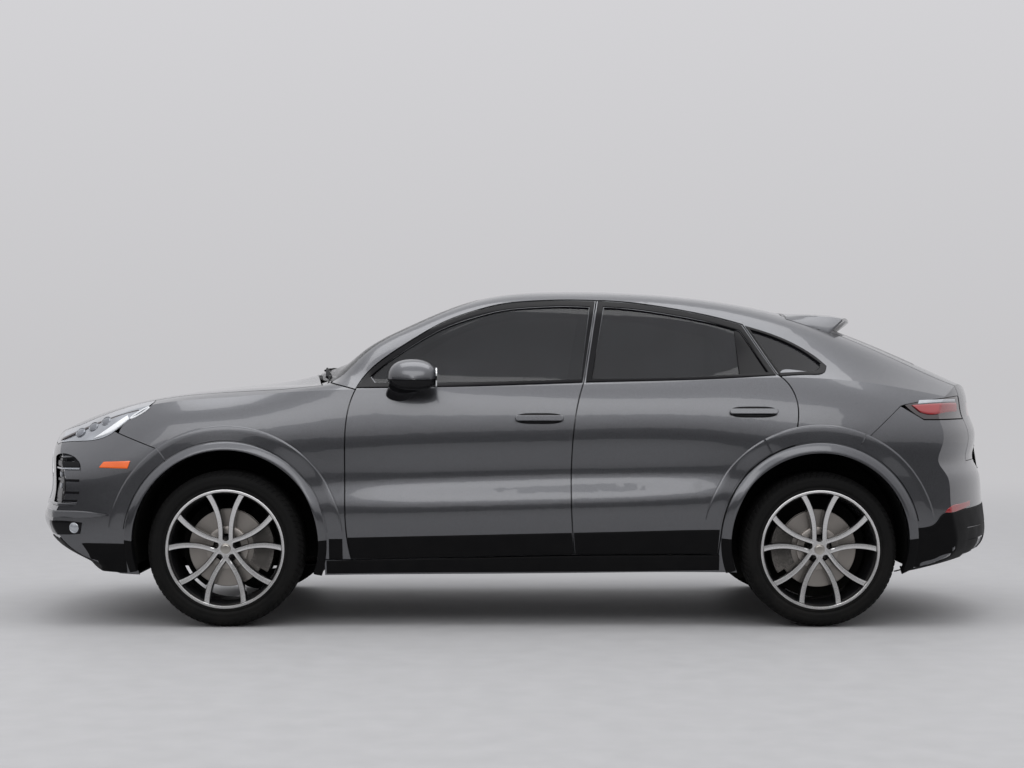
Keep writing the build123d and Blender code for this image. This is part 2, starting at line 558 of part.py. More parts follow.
# ---- doors ------------------------------------------------------------------------------------------------
GRIP_LENGTH, GRIP_HEIGHT, GRIP_THICK = 236, 27, 11
GRIP_STAND = 14             # the hollow behind the bar
GRIP_FOOT, FOOT_LENGTH = 92, 24
GRIP_ROOT = 8               # how far its feet reach into the door
GRIP_ROUND = 4


def skin_y(x, z):
    """The left skin's y at a point of the side."""
    probe = cut_piece(outer, [block((x - 1, -WIDTH, z - 1), (x + 1, -WIDTH / 4, z + 1))])
    return probe.bounding_box().min.Y


def grip(x, z):
    """A pull along the skin: a rounded bar that stands off it on two feet."""
    along, up = GRIP_FOOT, GRIP_HEIGHT
    run = skin_y(x + along, z) - skin_y(x - along, z)
    rise = skin_y(x, z + up) - skin_y(x, z - up)
    skin = Plane(origin=(x, skin_y(x, z), z), x_dir=(2 * along, run, 0),
                 z_dir=(2 * up * run, -4 * along * up, 2 * along * rise))
    with BuildPart() as pull:
        with BuildSketch(skin.offset(GRIP_STAND)):
            SlotOverall(GRIP_LENGTH, GRIP_HEIGHT)
        extrude(amount=GRIP_THICK)
        fillet(pull.faces().sort_by(Axis(skin.origin, skin.z_dir))[-1].edges(), radius=GRIP_ROUND)
        with BuildSketch(skin.offset(-GRIP_ROOT)):
            with Locations((-GRIP_FOOT, 0), (GRIP_FOOT, 0)):
                Rectangle(FOOT_LENGTH, GRIP_HEIGHT - 2 * GRIP_ROUND)
        extrude(amount=GRIP_ROOT + GRIP_STAND + GRIP_THICK / 2)
    return pull.part


def door(outline, window, grip_x, grip_z):
    """A left door: an outer lip, its stepped inner part, the window cut out and the grip on it."""
    with BuildPart() as inner_part:
        add(lip_inner)
        add(side_block(outline, -half - DOOR_STEP), mode=Mode.INTERSECT)
        add(door_inner, mode=Mode.SUBTRACT)
    shell = cut_piece(outer, [side_block(outline, -half)], [lip_inner], [inner_part.part])
    shell = cut_piece(shell, [], [side_block(window)])
    return cut_piece(shell, [], [], [grip(fit_x(grip_x), fit_z(grip_z))])


def door_glass(window):
    return cut_piece(glass_outer, [side_block(window, -SEAT_GAP)], [glass_inner])


save_pair("front_door", door(FRONT_DOOR, FRONT_WINDOW, 113, 1014))
save_pair("rear_door", door(REAR_DOOR, REAR_WINDOW, 1156, 1046))
save_pair("front_door_glass", door_glass(FRONT_WINDOW))
save_pair("rear_door_glass", door_glass(REAR_WINDOW))

# ---- wheels -----------------------------------------------------------------------------------------------
# Depths below are measured inboard (negative) from the wheel's outer wall.
TYRE_SEAT = RIM_RADIUS - 12         # the rim's barrel, where the tyre sits
RIM_INNER = TYRE_SEAT - 9
RIM_LIP = 8                         # width of each rim flange
LIP_DEPTH = 8                       # the outer flange stands this far inside the tyre's wall
MOUNT_DEPTH = 96                    # the wheel's mounting face
HUB_RADIUS = 74
HUB_PAD = 8
DISC_THICKNESS = 30
DISC_CLEARANCE = 5
BOLT_CIRCLE = 56
BOLT_HOLE = 7.5
BOLT_DEPTH = 40
PAIRS = 5
SPOKE = 26
SPOKE_KNEE = 0.52 * RIM_RADIUS
KINGPIN = 770                       # half width of the steering axis
KINGPIN_RADIUS = 22
UPRIGHT = 250
CALIPER_OUTER = RIM_INNER - 33
DISC_RADIUS = CALIPER_OUTER - 40
CALIPER_INNER = DISC_RADIUS - 58
CALIPER_ARC = 62
ARM = 24                            # half width of a suspension arm
wheel_face = WIDTH / 2 - WHEEL_FACE_INSET
front_hub = Plane(origin=(FRONT_AXLE, -wheel_face, FRONT_TYRE_RADIUS), x_dir=(1, 0, 0), z_dir=(0, -1, 0))
rear_hub = Plane(origin=(REAR_AXLE, -wheel_face, REAR_TYRE_RADIUS), x_dir=(1, 0, 0), z_dir=(0, -1, 0))


def radial_plane(hub):
    """A plane through the wheel's axis: its first coordinate is the radius, its second the depth."""
    return Plane(origin=hub.origin, x_dir=(0, 0, 1), z_dir=(1, 0, 0))


def rim(hub, width):
    """Barrel, five pairs of spokes, hub pad, and the brake disc that turns with them."""
    inner = width - LIP_DEPTH
    spin = Axis(hub.origin, hub.z_dir)
    lean = math.radians(90 / PAIRS)
    tip = (RIM_INNER + 2) * math.sin(lean), (RIM_INNER + 2) * math.cos(lean)
    w = SPOKE / 2
    with BuildPart() as dish:
        with BuildSketch(radial_plane(hub)):
            with BuildLine():
                Line((0, -MOUNT_DEPTH), (0, -36))
                Spline((0, -36), (60, -34), (150, -26), (RIM_INNER + 4, -14))
                Line((RIM_INNER + 4, -14), (RIM_INNER + 4, -60))
                Spline((RIM_INNER + 4, -60), (150, -66), (HUB_RADIUS, -MOUNT_DEPTH))
                Line((HUB_RADIUS, -MOUNT_DEPTH), (0, -MOUNT_DEPTH))
            make_face()
        revolve(axis=spin)
    with BuildPart() as spokes:
        with BuildSketch(hub.offset(-MOUNT_DEPTH)):
            Circle(HUB_RADIUS)
            with PolarLocations(0, PAIRS):
                for hand in (-1, 1):
                    Polygon((hand * 33 - w, 30), (hand * 30 - w, SPOKE_KNEE), (hand * tip[0] - w, tip[1]),
                            (hand * tip[0] + w, tip[1]), (hand * 30 + w, SPOKE_KNEE), (hand * 33 + w, 30),
                            align=None)
        extrude(amount=MOUNT_DEPTH)
        add(dish.part, mode=Mode.INTERSECT)
    with BuildPart() as wheel:
        with BuildSketch(radial_plane(hub)):
            with BuildLine():
                Polyline((RIM_INNER, -LIP_DEPTH), (RIM_RADIUS, -LIP_DEPTH), (RIM_RADIUS, -LIP_DEPTH - RIM_LIP),
                         (TYRE_SEAT, -LIP_DEPTH - RIM_LIP), (TYRE_SEAT, -inner), (RIM_RADIUS, -inner),
                         (RIM_RADIUS, -inner - RIM_LIP + 1), (RIM_INNER, -inner - RIM_LIP + 1), close=True)
            make_face()
        revolve(axis=spin)
        add(spokes.part)
        with BuildSketch(hub.offset(-MOUNT_DEPTH - HUB_PAD)):
            Circle(HUB_RADIUS)
        extrude(amount=HUB_PAD)
        with BuildSketch(hub.offset(-MOUNT_DEPTH - HUB_PAD - DISC_THICKNESS)):
            Circle(DISC_RADIUS)
        extrude(amount=DISC_THICKNESS)
        with BuildSketch(hub.offset(-36)):
            with PolarLocations(BOLT_CIRCLE, PAIRS, start_angle=90 + 180 / PAIRS):
                Circle(BOLT_HOLE)
        extrude(amount=-BOLT_DEPTH, mode=Mode.SUBTRACT)
        with BuildSketch(hub):
            Circle(BOLT_CIRCLE + 14)
        extrude(amount=-44, mode=Mode.SUBTRACT)
    return wheel.part


def tyre(hub, radius, width):
    """A ring between the rim's flanges, with a bulged wall and a nearly flat tread."""
    seat_radius = TYRE_SEAT + SEAT_GAP
    lip_radius = RIM_RADIUS + SEAT_GAP
    outer_bead = -LIP_DEPTH - RIM_LIP - SEAT_GAP
    inner_bead = -(width - LIP_DEPTH) + SEAT_GAP
    bulge = (RIM_RADIUS + radius) / 2 - 4
    with BuildPart() as ring:
        with BuildSketch(radial_plane(hub)):
            with BuildLine():
                Polyline((lip_radius, outer_bead), (seat_radius, outer_bead), (seat_radius, inner_bead),
                         (lip_radius, inner_bead), (lip_radius, -width + 8))
                Spline((lip_radius, -width + 8), (bulge, -width), (radius - 14, -width + 12),
                       (radius - 4, -width + 34))
                Spline((radius - 4, -width + 34), (radius, -width / 2), (radius - 4, -34))
                Spline((radius - 4, -34), (radius - 14, -12), (bulge, 0), (lip_radius, -8))
                Line((lip_radius, -8), (lip_radius, outer_bead))
            make_face()
        revolve(axis=Axis(hub.origin, hub.z_dir))
    return ring.part


def hub_carrier(hub, caliper_side):
    """A left upright with its hub flange and the brake caliper on its front (-1) or rear (1) side."""
    x, z = hub.origin.X, hub.origin.Z
    disc_back = MOUNT_DEPTH + HUB_PAD + DISC_THICKNESS
    disc_front = MOUNT_DEPTH + HUB_PAD
    leg = 14
    back, front = -disc_back - DISC_CLEARANCE, -disc_front + DISC_CLEARANCE
    with BuildPart() as jaw:
        with BuildSketch(radial_plane(hub)):
            with BuildLine():
                Polyline((CALIPER_INNER, back - leg), (CALIPER_OUTER, back - leg),
                         (CALIPER_OUTER, front + leg + 6), (CALIPER_INNER, front + leg + 2),
                         (CALIPER_INNER, front), (DISC_RADIUS + DISC_CLEARANCE, front),
                         (DISC_RADIUS + DISC_CLEARANCE, back), (CALIPER_INNER, back), close=True)
            make_face()
        revolve(axis=Axis(hub.origin, (0, -1, 0)), revolution_arc=CALIPER_ARC)
    turned = jaw.part.rotate(Axis(hub.origin, (0, 1, 0)), 90 * caliper_side + CALIPER_ARC / 2)
    jaw_inner = wheel_face - disc_back - DISC_CLEARANCE
    ends = sorted((x, x + caliper_side * (CALIPER_INNER + 40)))
    foot = sorted((x + caliper_side * (CALIPER_INNER + 4), x + caliper_side * (CALIPER_INNER + 40)))
    with BuildPart() as carrier:
        with BuildSketch(hub.offset(-disc_back - SEAT_GAP)):
            Circle(HUB_FLANGE)
        extrude(amount=-(wheel_face - disc_back - SEAT_GAP - KINGPIN))
        with BuildSketch(Plane.XY.offset(z - UPRIGHT / 2)):
            with Locations((x, -KINGPIN)):
                Circle(KINGPIN_RADIUS)
        extrude(amount=UPRIGHT)
        add(block((ends[0], -KINGPIN - 14, z - 30), (ends[1], -KINGPIN + 14, z + 30)))
        add(block((foot[0], -jaw_inner + leg / 2, z - 30), (foot[1], -KINGPIN, z + 30)))
        add(turned)
    return carrier.part


def arms(hub, inner):
    """Upper and lower left suspension arms, from the steering axis in to the half width inner."""
    x, z = hub.origin.X, hub.origin.Z
    with BuildPart() as pair:
        for side in (-1, 1):
            low = z + side * (UPRIGHT / 2 + SEAT_GAP) - (ARM if side < 0 else 0)
            with BuildSketch(Plane.XY.offset(low)):
                with Locations((x, -KINGPIN)):
                    Circle(KINGPIN_RADIUS + 8)
                with Locations((x, -(KINGPIN + inner) / 2)):
                    Rectangle(2 * ARM, KINGPIN - inner)
            extrude(amount=ARM)
    return pair.part


front_rim = rim(front_hub, FRONT_TYRE_WIDTH)
rear_rim = rim(rear_hub, REAR_TYRE_WIDTH)
save_pair("front_wheel", front_rim)
save_pair("rear_wheel", rear_rim)
save_pair("front_tyre", tyre(front_hub, FRONT_TYRE_RADIUS, FRONT_TYRE_WIDTH))
save_pair("rear_tyre", tyre(rear_hub, REAR_TYRE_RADIUS, REAR_TYRE_WIDTH))
front_knuckle = hub_carrier(front_hub, 1)
save_pair("front_knuckle", front_knuckle)

# ---- axles and engine -------------------------------------------------------------------------------------
BEAM_HALF = 430
BEAM_LOW = 236


def axle_beam(hub, half_width, low, high):
    """The cross member between a pair of wheels, with an end plate that both arms meet."""
    x, z = hub.origin.X, hub.origin.Z
    top = z + UPRIGHT / 2 + ARM
    return cut_piece(block((x - 120, -half_width, low), (x + 120, half_width, high)), [], [], [
        block((x - 60, -half_width, low), (x + 60, -half_width + 30, top)),
        block((x - 60, half_width - 30, low), (x + 60, half_width, top))])


front_arms = arms(front_hub, BEAM_HALF - 15)
front_beam = axle_beam(front_hub, BEAM_HALF, BEAM_LOW, 330)
LEG = (300, 360)                     # half widths of the legs that tie the front beam to the bulkhead
leg = block((FRONT_AXLE + 100, -LEG[1], 266), (bulkhead - SEAT_GAP, -LEG[0], 326))
save("front_axle", cut_piece(front_beam, [], [], [front_arms, mirrored(front_arms), leg, mirrored(leg)]))
FLOOR_LOW = 262.0
BOOT_FLOOR = 600.0
rear_arms = arms(rear_hub, 560)
with BuildPart() as rear_posts:
    with BuildSketch(Plane.XY.offset(300)):
        with Locations((REAR_AXLE, 0)):
            with GridLocations(160, 800, 2, 2):
                Circle(30)
    extrude(amount=BOOT_FLOOR - SEAT_GAP - 300)
rear_carrier = hub_carrier(rear_hub, -1)
rear_beam = axle_beam(rear_hub, 575, BEAM_LOW, 380)
save("rear_axle", cut_piece(rear_beam, [], [], [rear_arms, mirrored(rear_arms), rear_posts.part]),
     rear_carrier, mirrored(rear_carrier))
engine_low = 330 + SEAT_GAP
with BuildPart() as engine:
    with Locations((FRONT_AXLE + 10, 0, (engine_low + fit_z(890)) / 2)):
        Box(560, 520, fit_z(890) - engine_low)
    chamfer(engine.edges().filter_by(Axis.X).group_by(Axis.Z)[-1], 60)
save("engine_block", engine.part)

# ---- floor, bulkheads and wheel liners --------------------------------------------------------------------
SHEET = 30.0
BOOT_HALF = 590.0
kick_up = fit_x(970)
boot_end = fit_x(2200)
floor_line = [(bulkhead, FLOOR_LOW), (kick_up + SHEET, FLOOR_LOW), (kick_up + SHEET, BOOT_FLOOR),
              (boot_end, BOOT_FLOOR), (boot_end, fit_z(840)), (boot_end - SHEET, fit_z(840)),
              (boot_end - SHEET, BOOT_FLOOR + SHEET), (kick_up, BOOT_FLOOR + SHEET),
              (kick_up, FLOOR_LOW + SHEET), (bulkhead + SHEET, FLOOR_LOW + SHEET),
              (bulkhead + SHEET, fit_z(1100)), (bulkhead, fit_z(1100))]
floor_sheet = prism(Plane.XZ, closed(*floor_line), WIDTH, both=True)
wide_zone = block((NOSE, -WIDTH, 0), (kick_up + SHEET, WIDTH, HEIGHT))
boot_zone = block((NOSE, -BOOT_HALF, 0), (TAIL, BOOT_HALF, HEIGHT))
tail_inner = lofted_form(even(FRAME_WALL + SEAT_GAP), FRAME_WALL + SEAT_GAP, MID)
striker = cut_piece(tail_inner, [block((boot_end - 10, -30, fit_z(806)), (TAIL, 30, fit_z(840)))])
with BuildPart() as floor_pan:
    add(floor_sheet)
    add(floor_limit, mode=Mode.INTERSECT)
    add(cut_piece(wide_zone, [], [], [boot_zone]), mode=Mode.INTERSECT)
    add(striker)
save("floor_pan", floor_pan.part)

TRAY = 8.0
front_tray_line = [(-2310, 356), (-2120, 300), (-1950, 264), (-1000, 262), (-1000, 254), (-1950, 256),
                   (-2120, 292), (-2310, 348)]
front_tray_real = fit_xz(front_tray_line)
front_tray_real[3] = (bulkhead - SEAT_GAP, FLOOR_LOW)
front_tray_real[4] = (bulkhead - SEAT_GAP, FLOOR_LOW - TRAY)
front_wells = [front_arch, mirrored(front_arch)]
rear_wells = [rear_arch, mirrored(rear_arch)]
tray_hole = block((FRONT_AXLE - 126, -482, 0), (FRONT_AXLE + 126, 482, 500))
with BuildPart() as front_tray:
    add(prism(Plane.XZ, closed(*front_tray_real), WIDTH, both=True))
    add(liner_limit, mode=Mode.INTERSECT)
    for solid in front_wells + [tray_hole, lower_hole]:
        add(solid, mode=Mode.SUBTRACT)
save("undertray", front_tray.part)

diffuser_line = fit_xz([(1990, 270), (2180, 300), (2360, 352), (2400, 372), (2400, 382), (2360, 362),
                        (2180, 310), (1990, 280)])
TIP_HALF = (470, 620)
tip_low, tip_high = fit_z(338), fit_z(404)


def tip_block(growth):
    return block((fit_x(2170), -TIP_HALF[1] - growth, tip_low - growth),
                 (TAIL + 100, -TIP_HALF[0] + growth, tip_high + growth))


tip_holes = [tip_block(FIXED_GAP), mirrored(tip_block(FIXED_GAP))]
with BuildPart() as diffuser:
    add(prism(Plane.XZ, closed(*diffuser_line), WIDTH, both=True))
    add(liner_limit, mode=Mode.INTERSECT)
    for solid in rear_wells + tip_holes:
        add(solid, mode=Mode.SUBTRACT)
save("rear_diffuser", diffuser.part)
tip_wall = 4.0
tip_form = lofted_form(even(6), 6, MID)
tip = cut_piece(tip_form, [tip_block(0)], [block((fit_x(2190), -TIP_HALF[1] + tip_wall, tip_low + tip_wall),
                                              (TAIL + 100, -TIP_HALF[0] - tip_wall, tip_high - tip_wall))])
silencer = block((fit_x(2000), -TIP_HALF[1] + 20, fit_z(309.6)), (fit_x(2175), TIP_HALF[1] - 20, fit_z(470)))
save("exhaust_system", cut_piece(silencer, [], [], [tip, mirrored(tip)]))
save("rear_bumper", cut_piece(rear_skin, [], tip_holes), cut_piece(mirrored(rear_skin), [], tip_holes))


def liner(hub, radius, rise, inner):
    """A left wheel liner: half a thin tube over the wheel and the thin wall at its inner end."""
    axle, hub_z = hub.origin.X, hub.origin.Z
    shell = arch(axle, radius + LINER, rise, hub_z, inner - LINER)
    space = arch(axle, radius, rise, hub_z, inner)
    slot_half, slot_top = ARM + 12, hub_z + UPRIGHT / 2 + ARM + 12
    arm_slot = block((axle - slot_half, -inner - 1, 0), (axle + slot_half, -inner + LINER + 1, slot_top))
    above = block((axle - 600, -WIDTH, FLOOR_LOW + 40), (axle + 600, 0, HEIGHT))
    return cut_piece(shell, [above, liner_limit], [space, arm_slot])


front_liner = liner(front_hub, ARCH_FRONT, ARCH_FRONT_RISE, 488)
rear_liner = cut_piece(liner(rear_hub, ARCH_REAR, ARCH_REAR_RISE, 608), [], [
    side_block(QUARTER, -seam)])
save("wheel_liners", front_liner, mirrored(front_liner), rear_liner, mirrored(rear_liner))

# ---- behind the nose, and the cowl ------------------------------------------------------------------------
CARRIER = 14.0
TOW_BORE = 9.0
TOW_DEPTH = 60.0
TOW_WALL = 10.0
STOP_RADIUS = 14
carrier_outer = lofted_form(even(70 + SEAT_GAP), 70 + SEAT_GAP)
carrier_inner = lofted_form(even(70 + CARRIER), 70 + CARRIER)
carrier_well = arch(FRONT_AXLE, ARCH_FRONT, ARCH_FRONT_RISE, FRONT_TYRE_RADIUS, 470, CARRIER)
nose_zone = block((NOSE, -WIDTH, 372), (fit_x(-1885), WIDTH, fit_z(1100)))
tow_face = fit_x(-2352)
tow_plane = Plane(origin=(tow_face, -TOW_HALF, TOW_HEIGHT), x_dir=(0, 1, 0), z_dir=(-1, 0, 0))
with BuildPart() as carrier:
    add(carrier_outer)
    add(nose_zone, mode=Mode.INTERSECT)
    for solid in (carrier_inner, carrier_well, mirrored(carrier_well)):
        add(solid, mode=Mode.SUBTRACT)
    with BuildSketch(tow_plane):
        Circle(TOW_BORE + TOW_WALL)
    extrude(amount=-TOW_DEPTH - TOW_WALL)
    with BuildSketch(tow_plane):
        Circle(TOW_BORE)
    extrude(amount=-TOW_DEPTH, mode=Mode.SUBTRACT)
stops = []
for y in (-300, 300):
    with BuildPart() as stop:
        with BuildSketch(Plane.XY.offset(fit_z(930))):
            with Locations((fit_x(-2110), y)):
                Circle(STOP_RADIUS)
        extrude(amount=300)
        add(liner_limit, mode=Mode.INTERSECT)
    stops.append(stop.part)
save("front_end_carrier", cut_piece(carrier.part, [], [], stops))

cowl_zone = block((bulkhead - 90, -fit_y(690), fit_z(1100) + SEAT_GAP), (bulkhead + 60, fit_y(690), HEIGHT))
cowl_form = lofted_form(even(FRAME_WALL + 4), FRAME_WALL + 4)
save("cowl_panel", cut_piece(cowl_form, [cowl_zone]))

# ---- mirrors ----------------------------------------------------------------------------------------------
MIRROR_TIP = 1090.0


def mirror_housing():
    """A left door mirror: a rounded shell on a short arm that stands off the door's shoulder."""
    middle_x, middle_z = fit_x(-502), fit_z(1222)
    with BuildPart() as housing:
        for half_y, scale in ((925, 0.72), (960, 1.0), (1045, 0.96), (MIRROR_TIP, 0.62)):
            with BuildSketch(Plane.XZ.offset(half_y)):
                with Locations((middle_x, middle_z)):
                    RectangleRounded(262 * scale, 164 * scale, 70 * scale)
        loft()
    arm = block((fit_x(-590), -965, fit_z(1118)), (fit_x(-455), -860, fit_z(1162)))
    return cut_piece(housing.part, [], [], [cut_piece(arm, [], [grip_seat])])


save_pair("mirror", mirror_housing())

# ---- cabin ------------------------------------------------------------------------------------------------
SEAT_Y = 380.0
SEAT_HALF = 255.0
DASH_HALF = 690.0
floor_top = FLOOR_LOW + SHEET + SEAT_GAP


def seat(y, x, half_width):
    """A front seat: plinth, cushion, raked back and headrest, seen from the side and carried across."""
    outline = [(x - 250, floor_top), (x + 250, floor_top), (x + 250, 480), (x + 330, 500), (x + 480, 1080),
               (x + 500, 1230), (x + 420, 1240), (x + 350, 1090), (x + 200, 620), (x - 270, 640),
               (x - 290, 540), (x - 230, 470)]
    with BuildPart() as chair:
        with BuildSketch(Plane.XZ.offset(-y)):
            Polygon(*outline, align=None)
        extrude(amount=half_width, both=True)
        for hand in (-1, 1):
            add(block((x + 360, y + hand * half_width - (0 if hand < 0 else half_width - 120), 1100),
                      (x + 520, y + hand * half_width + (half_width - 120 if hand < 0 else 0), 1260)),
                mode=Mode.SUBTRACT)
    return chair.part


left_seat = seat(-SEAT_Y, fit_x(-170), SEAT_HALF)
save("front_seats", left_seat, mirrored(left_seat))

bench_front = fit_x(590)
bench_back = kick_up - SEAT_GAP
bench_line = [(bench_front, floor_top), (bench_back, floor_top), (bench_back, BOOT_FLOOR + SHEET),
              (bench_back + 160, 1150), (bench_back + 80, 1170), (bench_back - 70, 640),
              (bench_front - 20, 655), (bench_front - 30, 560)]
with BuildPart() as bench:
    with BuildSketch(Plane.XZ):
        Polygon(*bench_line, align=None)
    extrude(amount=640, both=True)
save("rear_bench", bench.part)

dash_front = bulkhead + SHEET + SEAT_GAP
COLUMN_LENGTH = 395.9               # from the dashboard's front to the steering wheel's seat
COLUMN_RAKE = math.radians(24)
column = Plane(origin=(dash_front + COLUMN_LENGTH, -SEAT_Y, fit_z(960)), x_dir=(0, 1, 0),
               z_dir=(math.cos(COLUMN_RAKE), 0, math.sin(COLUMN_RAKE)))
dash_line = [(dash_front + depth, fit_z(z)) for depth, z in
             ((0, 700), (200, 700), (330, 900), (360, 1000), (250, 1085), (0, 1090))]
with BuildPart() as dash:
    with BuildSketch(Plane.XZ):
        Polygon(*dash_line, align=None)
    extrude(amount=DASH_HALF, both=True)
    add(block((dash_front, -110, floor_top), (fit_x(300), 110, 610)))
    add(block((dash_front, -110, 600), (dash_front + 300, 110, 760)))
    with BuildSketch(column):
        Circle(32)
    extrude(amount=-150)
save("dashboard", dash.part)

STEERING_RADIUS = 185.0
with BuildPart() as steering:
    with BuildSketch(column.offset(SEAT_GAP)):
        Circle(62)
    extrude(amount=40)
    with BuildSketch(column.offset(20)):
        Rectangle(2 * STEERING_RADIUS - 10, 34)
        with Locations((0, -STEERING_RADIUS / 2)):
            Rectangle(34, STEERING_RADIUS - 10)
    extrude(amount=12)
    ring_section = Plane(origin=column.offset(26).origin, x_dir=column.x_dir, z_dir=column.y_dir)
    with BuildSketch(ring_section):
        with Locations((STEERING_RADIUS, 0)):
            Circle(15)
    revolve(axis=Axis(column.origin, column.z_dir))
save("steering_wheel", steering.part)

strip_gap = block((fit_x(2300), -fit_y(600), fit_z(1020)), (TAIL, fit_y(600), fit_z(1088)))
strip_zone = block((fit_x(2300), -fit_y(600) + SEAT_GAP, fit_z(1020) + SEAT_GAP),
                   (TAIL, fit_y(600) - SEAT_GAP, fit_z(1088) - SEAT_GAP))
strip_inner = lofted_form(even(20), 20, MID)
strip_pocket = lofted_form(even(20 + SEAT_GAP), 20 + SEAT_GAP, MID)
save("tail_light_strip", cut_piece(outer, [strip_zone], [strip_inner]))
strip_cut = cut_piece(outer, [strip_gap], [strip_pocket])
save("tailgate", cut_piece(tailgate, [], [strip_cut]))
print("done")
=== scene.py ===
"""Looks for a coupe sport utility vehicle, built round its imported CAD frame.

The nose points to -X, the left side to -Y, up is +Z, all in metres. Each new piece is a surface worked out with
numpy: a function of two parameters on a grid, or a profile carried along a path.
"""
import math
import bmesh
import bpy
import numpy as np
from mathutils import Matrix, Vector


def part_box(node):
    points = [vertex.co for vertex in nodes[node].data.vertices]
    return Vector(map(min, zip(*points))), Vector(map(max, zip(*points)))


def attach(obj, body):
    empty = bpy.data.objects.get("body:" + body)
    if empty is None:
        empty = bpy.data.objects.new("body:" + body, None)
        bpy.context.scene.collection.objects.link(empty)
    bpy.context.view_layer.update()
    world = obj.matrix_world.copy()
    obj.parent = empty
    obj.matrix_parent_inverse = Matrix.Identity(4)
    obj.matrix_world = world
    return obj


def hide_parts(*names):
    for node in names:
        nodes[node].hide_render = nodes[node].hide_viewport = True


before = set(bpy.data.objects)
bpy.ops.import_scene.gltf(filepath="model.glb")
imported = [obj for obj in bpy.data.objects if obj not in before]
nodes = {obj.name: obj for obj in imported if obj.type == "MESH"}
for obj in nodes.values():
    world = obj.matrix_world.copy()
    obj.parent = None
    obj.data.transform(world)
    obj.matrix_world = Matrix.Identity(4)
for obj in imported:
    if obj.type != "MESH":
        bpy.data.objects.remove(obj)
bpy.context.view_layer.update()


# ---- mesh helpers ---------------------------------------------------------------------------------------------
def grid_faces(rows, columns, wrap_rows=False, wrap_columns=False):
    """Quads over a rows x columns grid of points, numbered row by row."""
    last_row = rows if wrap_rows else rows - 1
    last_column = columns if wrap_columns else columns - 1
    r, c = np.meshgrid(np.arange(last_row), np.arange(last_column), indexing="ij")
    r2, c2 = (r + 1) % rows, (c + 1) % columns
    return np.stack([r * columns + c, r2 * columns + c, r2 * columns + c2, r * columns + c2], -1).reshape(-1, 4)


def tube_faces(rows, columns):
    """Quads over a tube: closed round its columns, with each end row filled by a ladder of quads."""
    faces = [grid_faces(rows, columns, False, True)]
    k = np.arange(columns // 2 - 1)
    for row in (0, rows - 1):
        faces.append(row * columns + np.stack([k, k + 1, columns - 2 - k, columns - 1 - k], -1))
    return np.concatenate(faces)


def closed(x, y, z, loop=False):
    """A closed shape from rows of closed sections given by their coordinates, each of which may be a single row
    or column where it repeats: capped at both ends, or looped back into itself."""
    points = np.stack(np.broadcast_arrays(x, y, z), -1)
    rows, columns = points.shape[:2]
    return points.reshape(-1, 3), grid_faces(rows, columns, True, True) if loop else tube_faces(rows, columns)


def turn(steps):
    """The angles of one whole turn in even steps, as a column."""
    return np.linspace(0, 2 * np.pi, steps, endpoint=False)[:, None]


def bent(wave, power):
    """A wave's values raised to a power with their signs kept, which squares a circle off or pinches it."""
    return np.sign(wave) * np.abs(wave)**power


def mesh_points(mesh):
    """A mesh's points as rows of (x, y, z)."""
    points = np.empty(len(mesh.vertices) * 3)
    mesh.vertices.foreach_get("co", points)
    return points.reshape(-1, 3)


def joined(parts):
    """Several (points, quads) meshes as one."""
    points, faces, start = [], [], 0
    for p, f in parts:
        points.append(p)
        faces.append(f + start)
        start += len(p)
    return np.concatenate(points), np.concatenate(faces)


def outward(piece):
    """Joins doubled points and turns every face outwards."""
    work = bmesh.new()
    work.from_mesh(piece.data)
    bmesh.ops.remove_doubles(work, verts=work.verts, dist=1e-6)
    bmesh.ops.recalc_face_normals(work, faces=work.faces)
    work.to_mesh(piece.data)
    work.free()


def linked_object(name, points, faces, material=None):
    """A new mesh object in the scene."""
    mesh = bpy.data.meshes.new(name)
    mesh.from_pydata(np.asarray(points, float).tolist(), [], np.asarray(faces, int).tolist())
    if material:
        mesh.materials.append(material)
    made = bpy.data.objects.new(name, mesh)
    bpy.context.scene.collection.objects.link(made)
    return made


def body_piece(name, shape, material, body="body", angle=40):
    """A finished piece from points and faces, closed, facing outwards and riding on a body."""
    piece = linked_object(name, *shape, material)
    piece.data.validate()
    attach(piece, body)
    outward(piece)
    piece.data.shade_smooth()
    piece.data.set_sharp_from_angle(angle=math.radians(angle))
    return piece


# ---- effects shared by the finishes ---------------------------------------------------------------------------
def effect(name, inputs, outputs):
    """An empty node group with named inputs (label, kind, value) and outputs (label, kind)."""
    tree = bpy.data.node_groups.new(name, "ShaderNodeTree")
    for label, kind, value in inputs:
        tree.interface.new_socket(label, in_out="INPUT", socket_type="NodeSocket" + kind).default_value = value
    for label, kind in outputs:
        tree.interface.new_socket(label, in_out="OUTPUT", socket_type="NodeSocket" + kind)
    return tree, tree.nodes.new("NodeGroupInput").outputs, tree.nodes.new("NodeGroupOutput").inputs


def put(tree, sockets, values):
    """Puts values on input sockets: plain ones, links from sockets, or links from nodes' first outputs."""
    for key, value in values.items():
        if isinstance(value, bpy.types.Node):
            value = value.outputs[0]
        if isinstance(value, bpy.types.NodeSocket):
            tree.links.new(value, sockets[key])
        else:
            sockets[key].default_value = value


def wire(tree, kind, inputs=None, **settings):
    """A node of one kind, with values or links put on its inputs."""
    node = tree.nodes.new("ShaderNode" + kind)
    for key, value in settings.items():
        setattr(node, key, value)
    put(tree, node.inputs, inputs or {})
    return node


def sums(tree, operation, first, second, clamp=False):
    """One step of arithmetic on two values."""
    return wire(tree, "Math", {0: first, 1: second}, operation=operation, use_clamp=clamp)


def scaled(tree, vector, factor):
    """A colour or vector times a value."""
    return wire(tree, "VectorMath", {0: vector, "Scale": factor}, operation="SCALE")


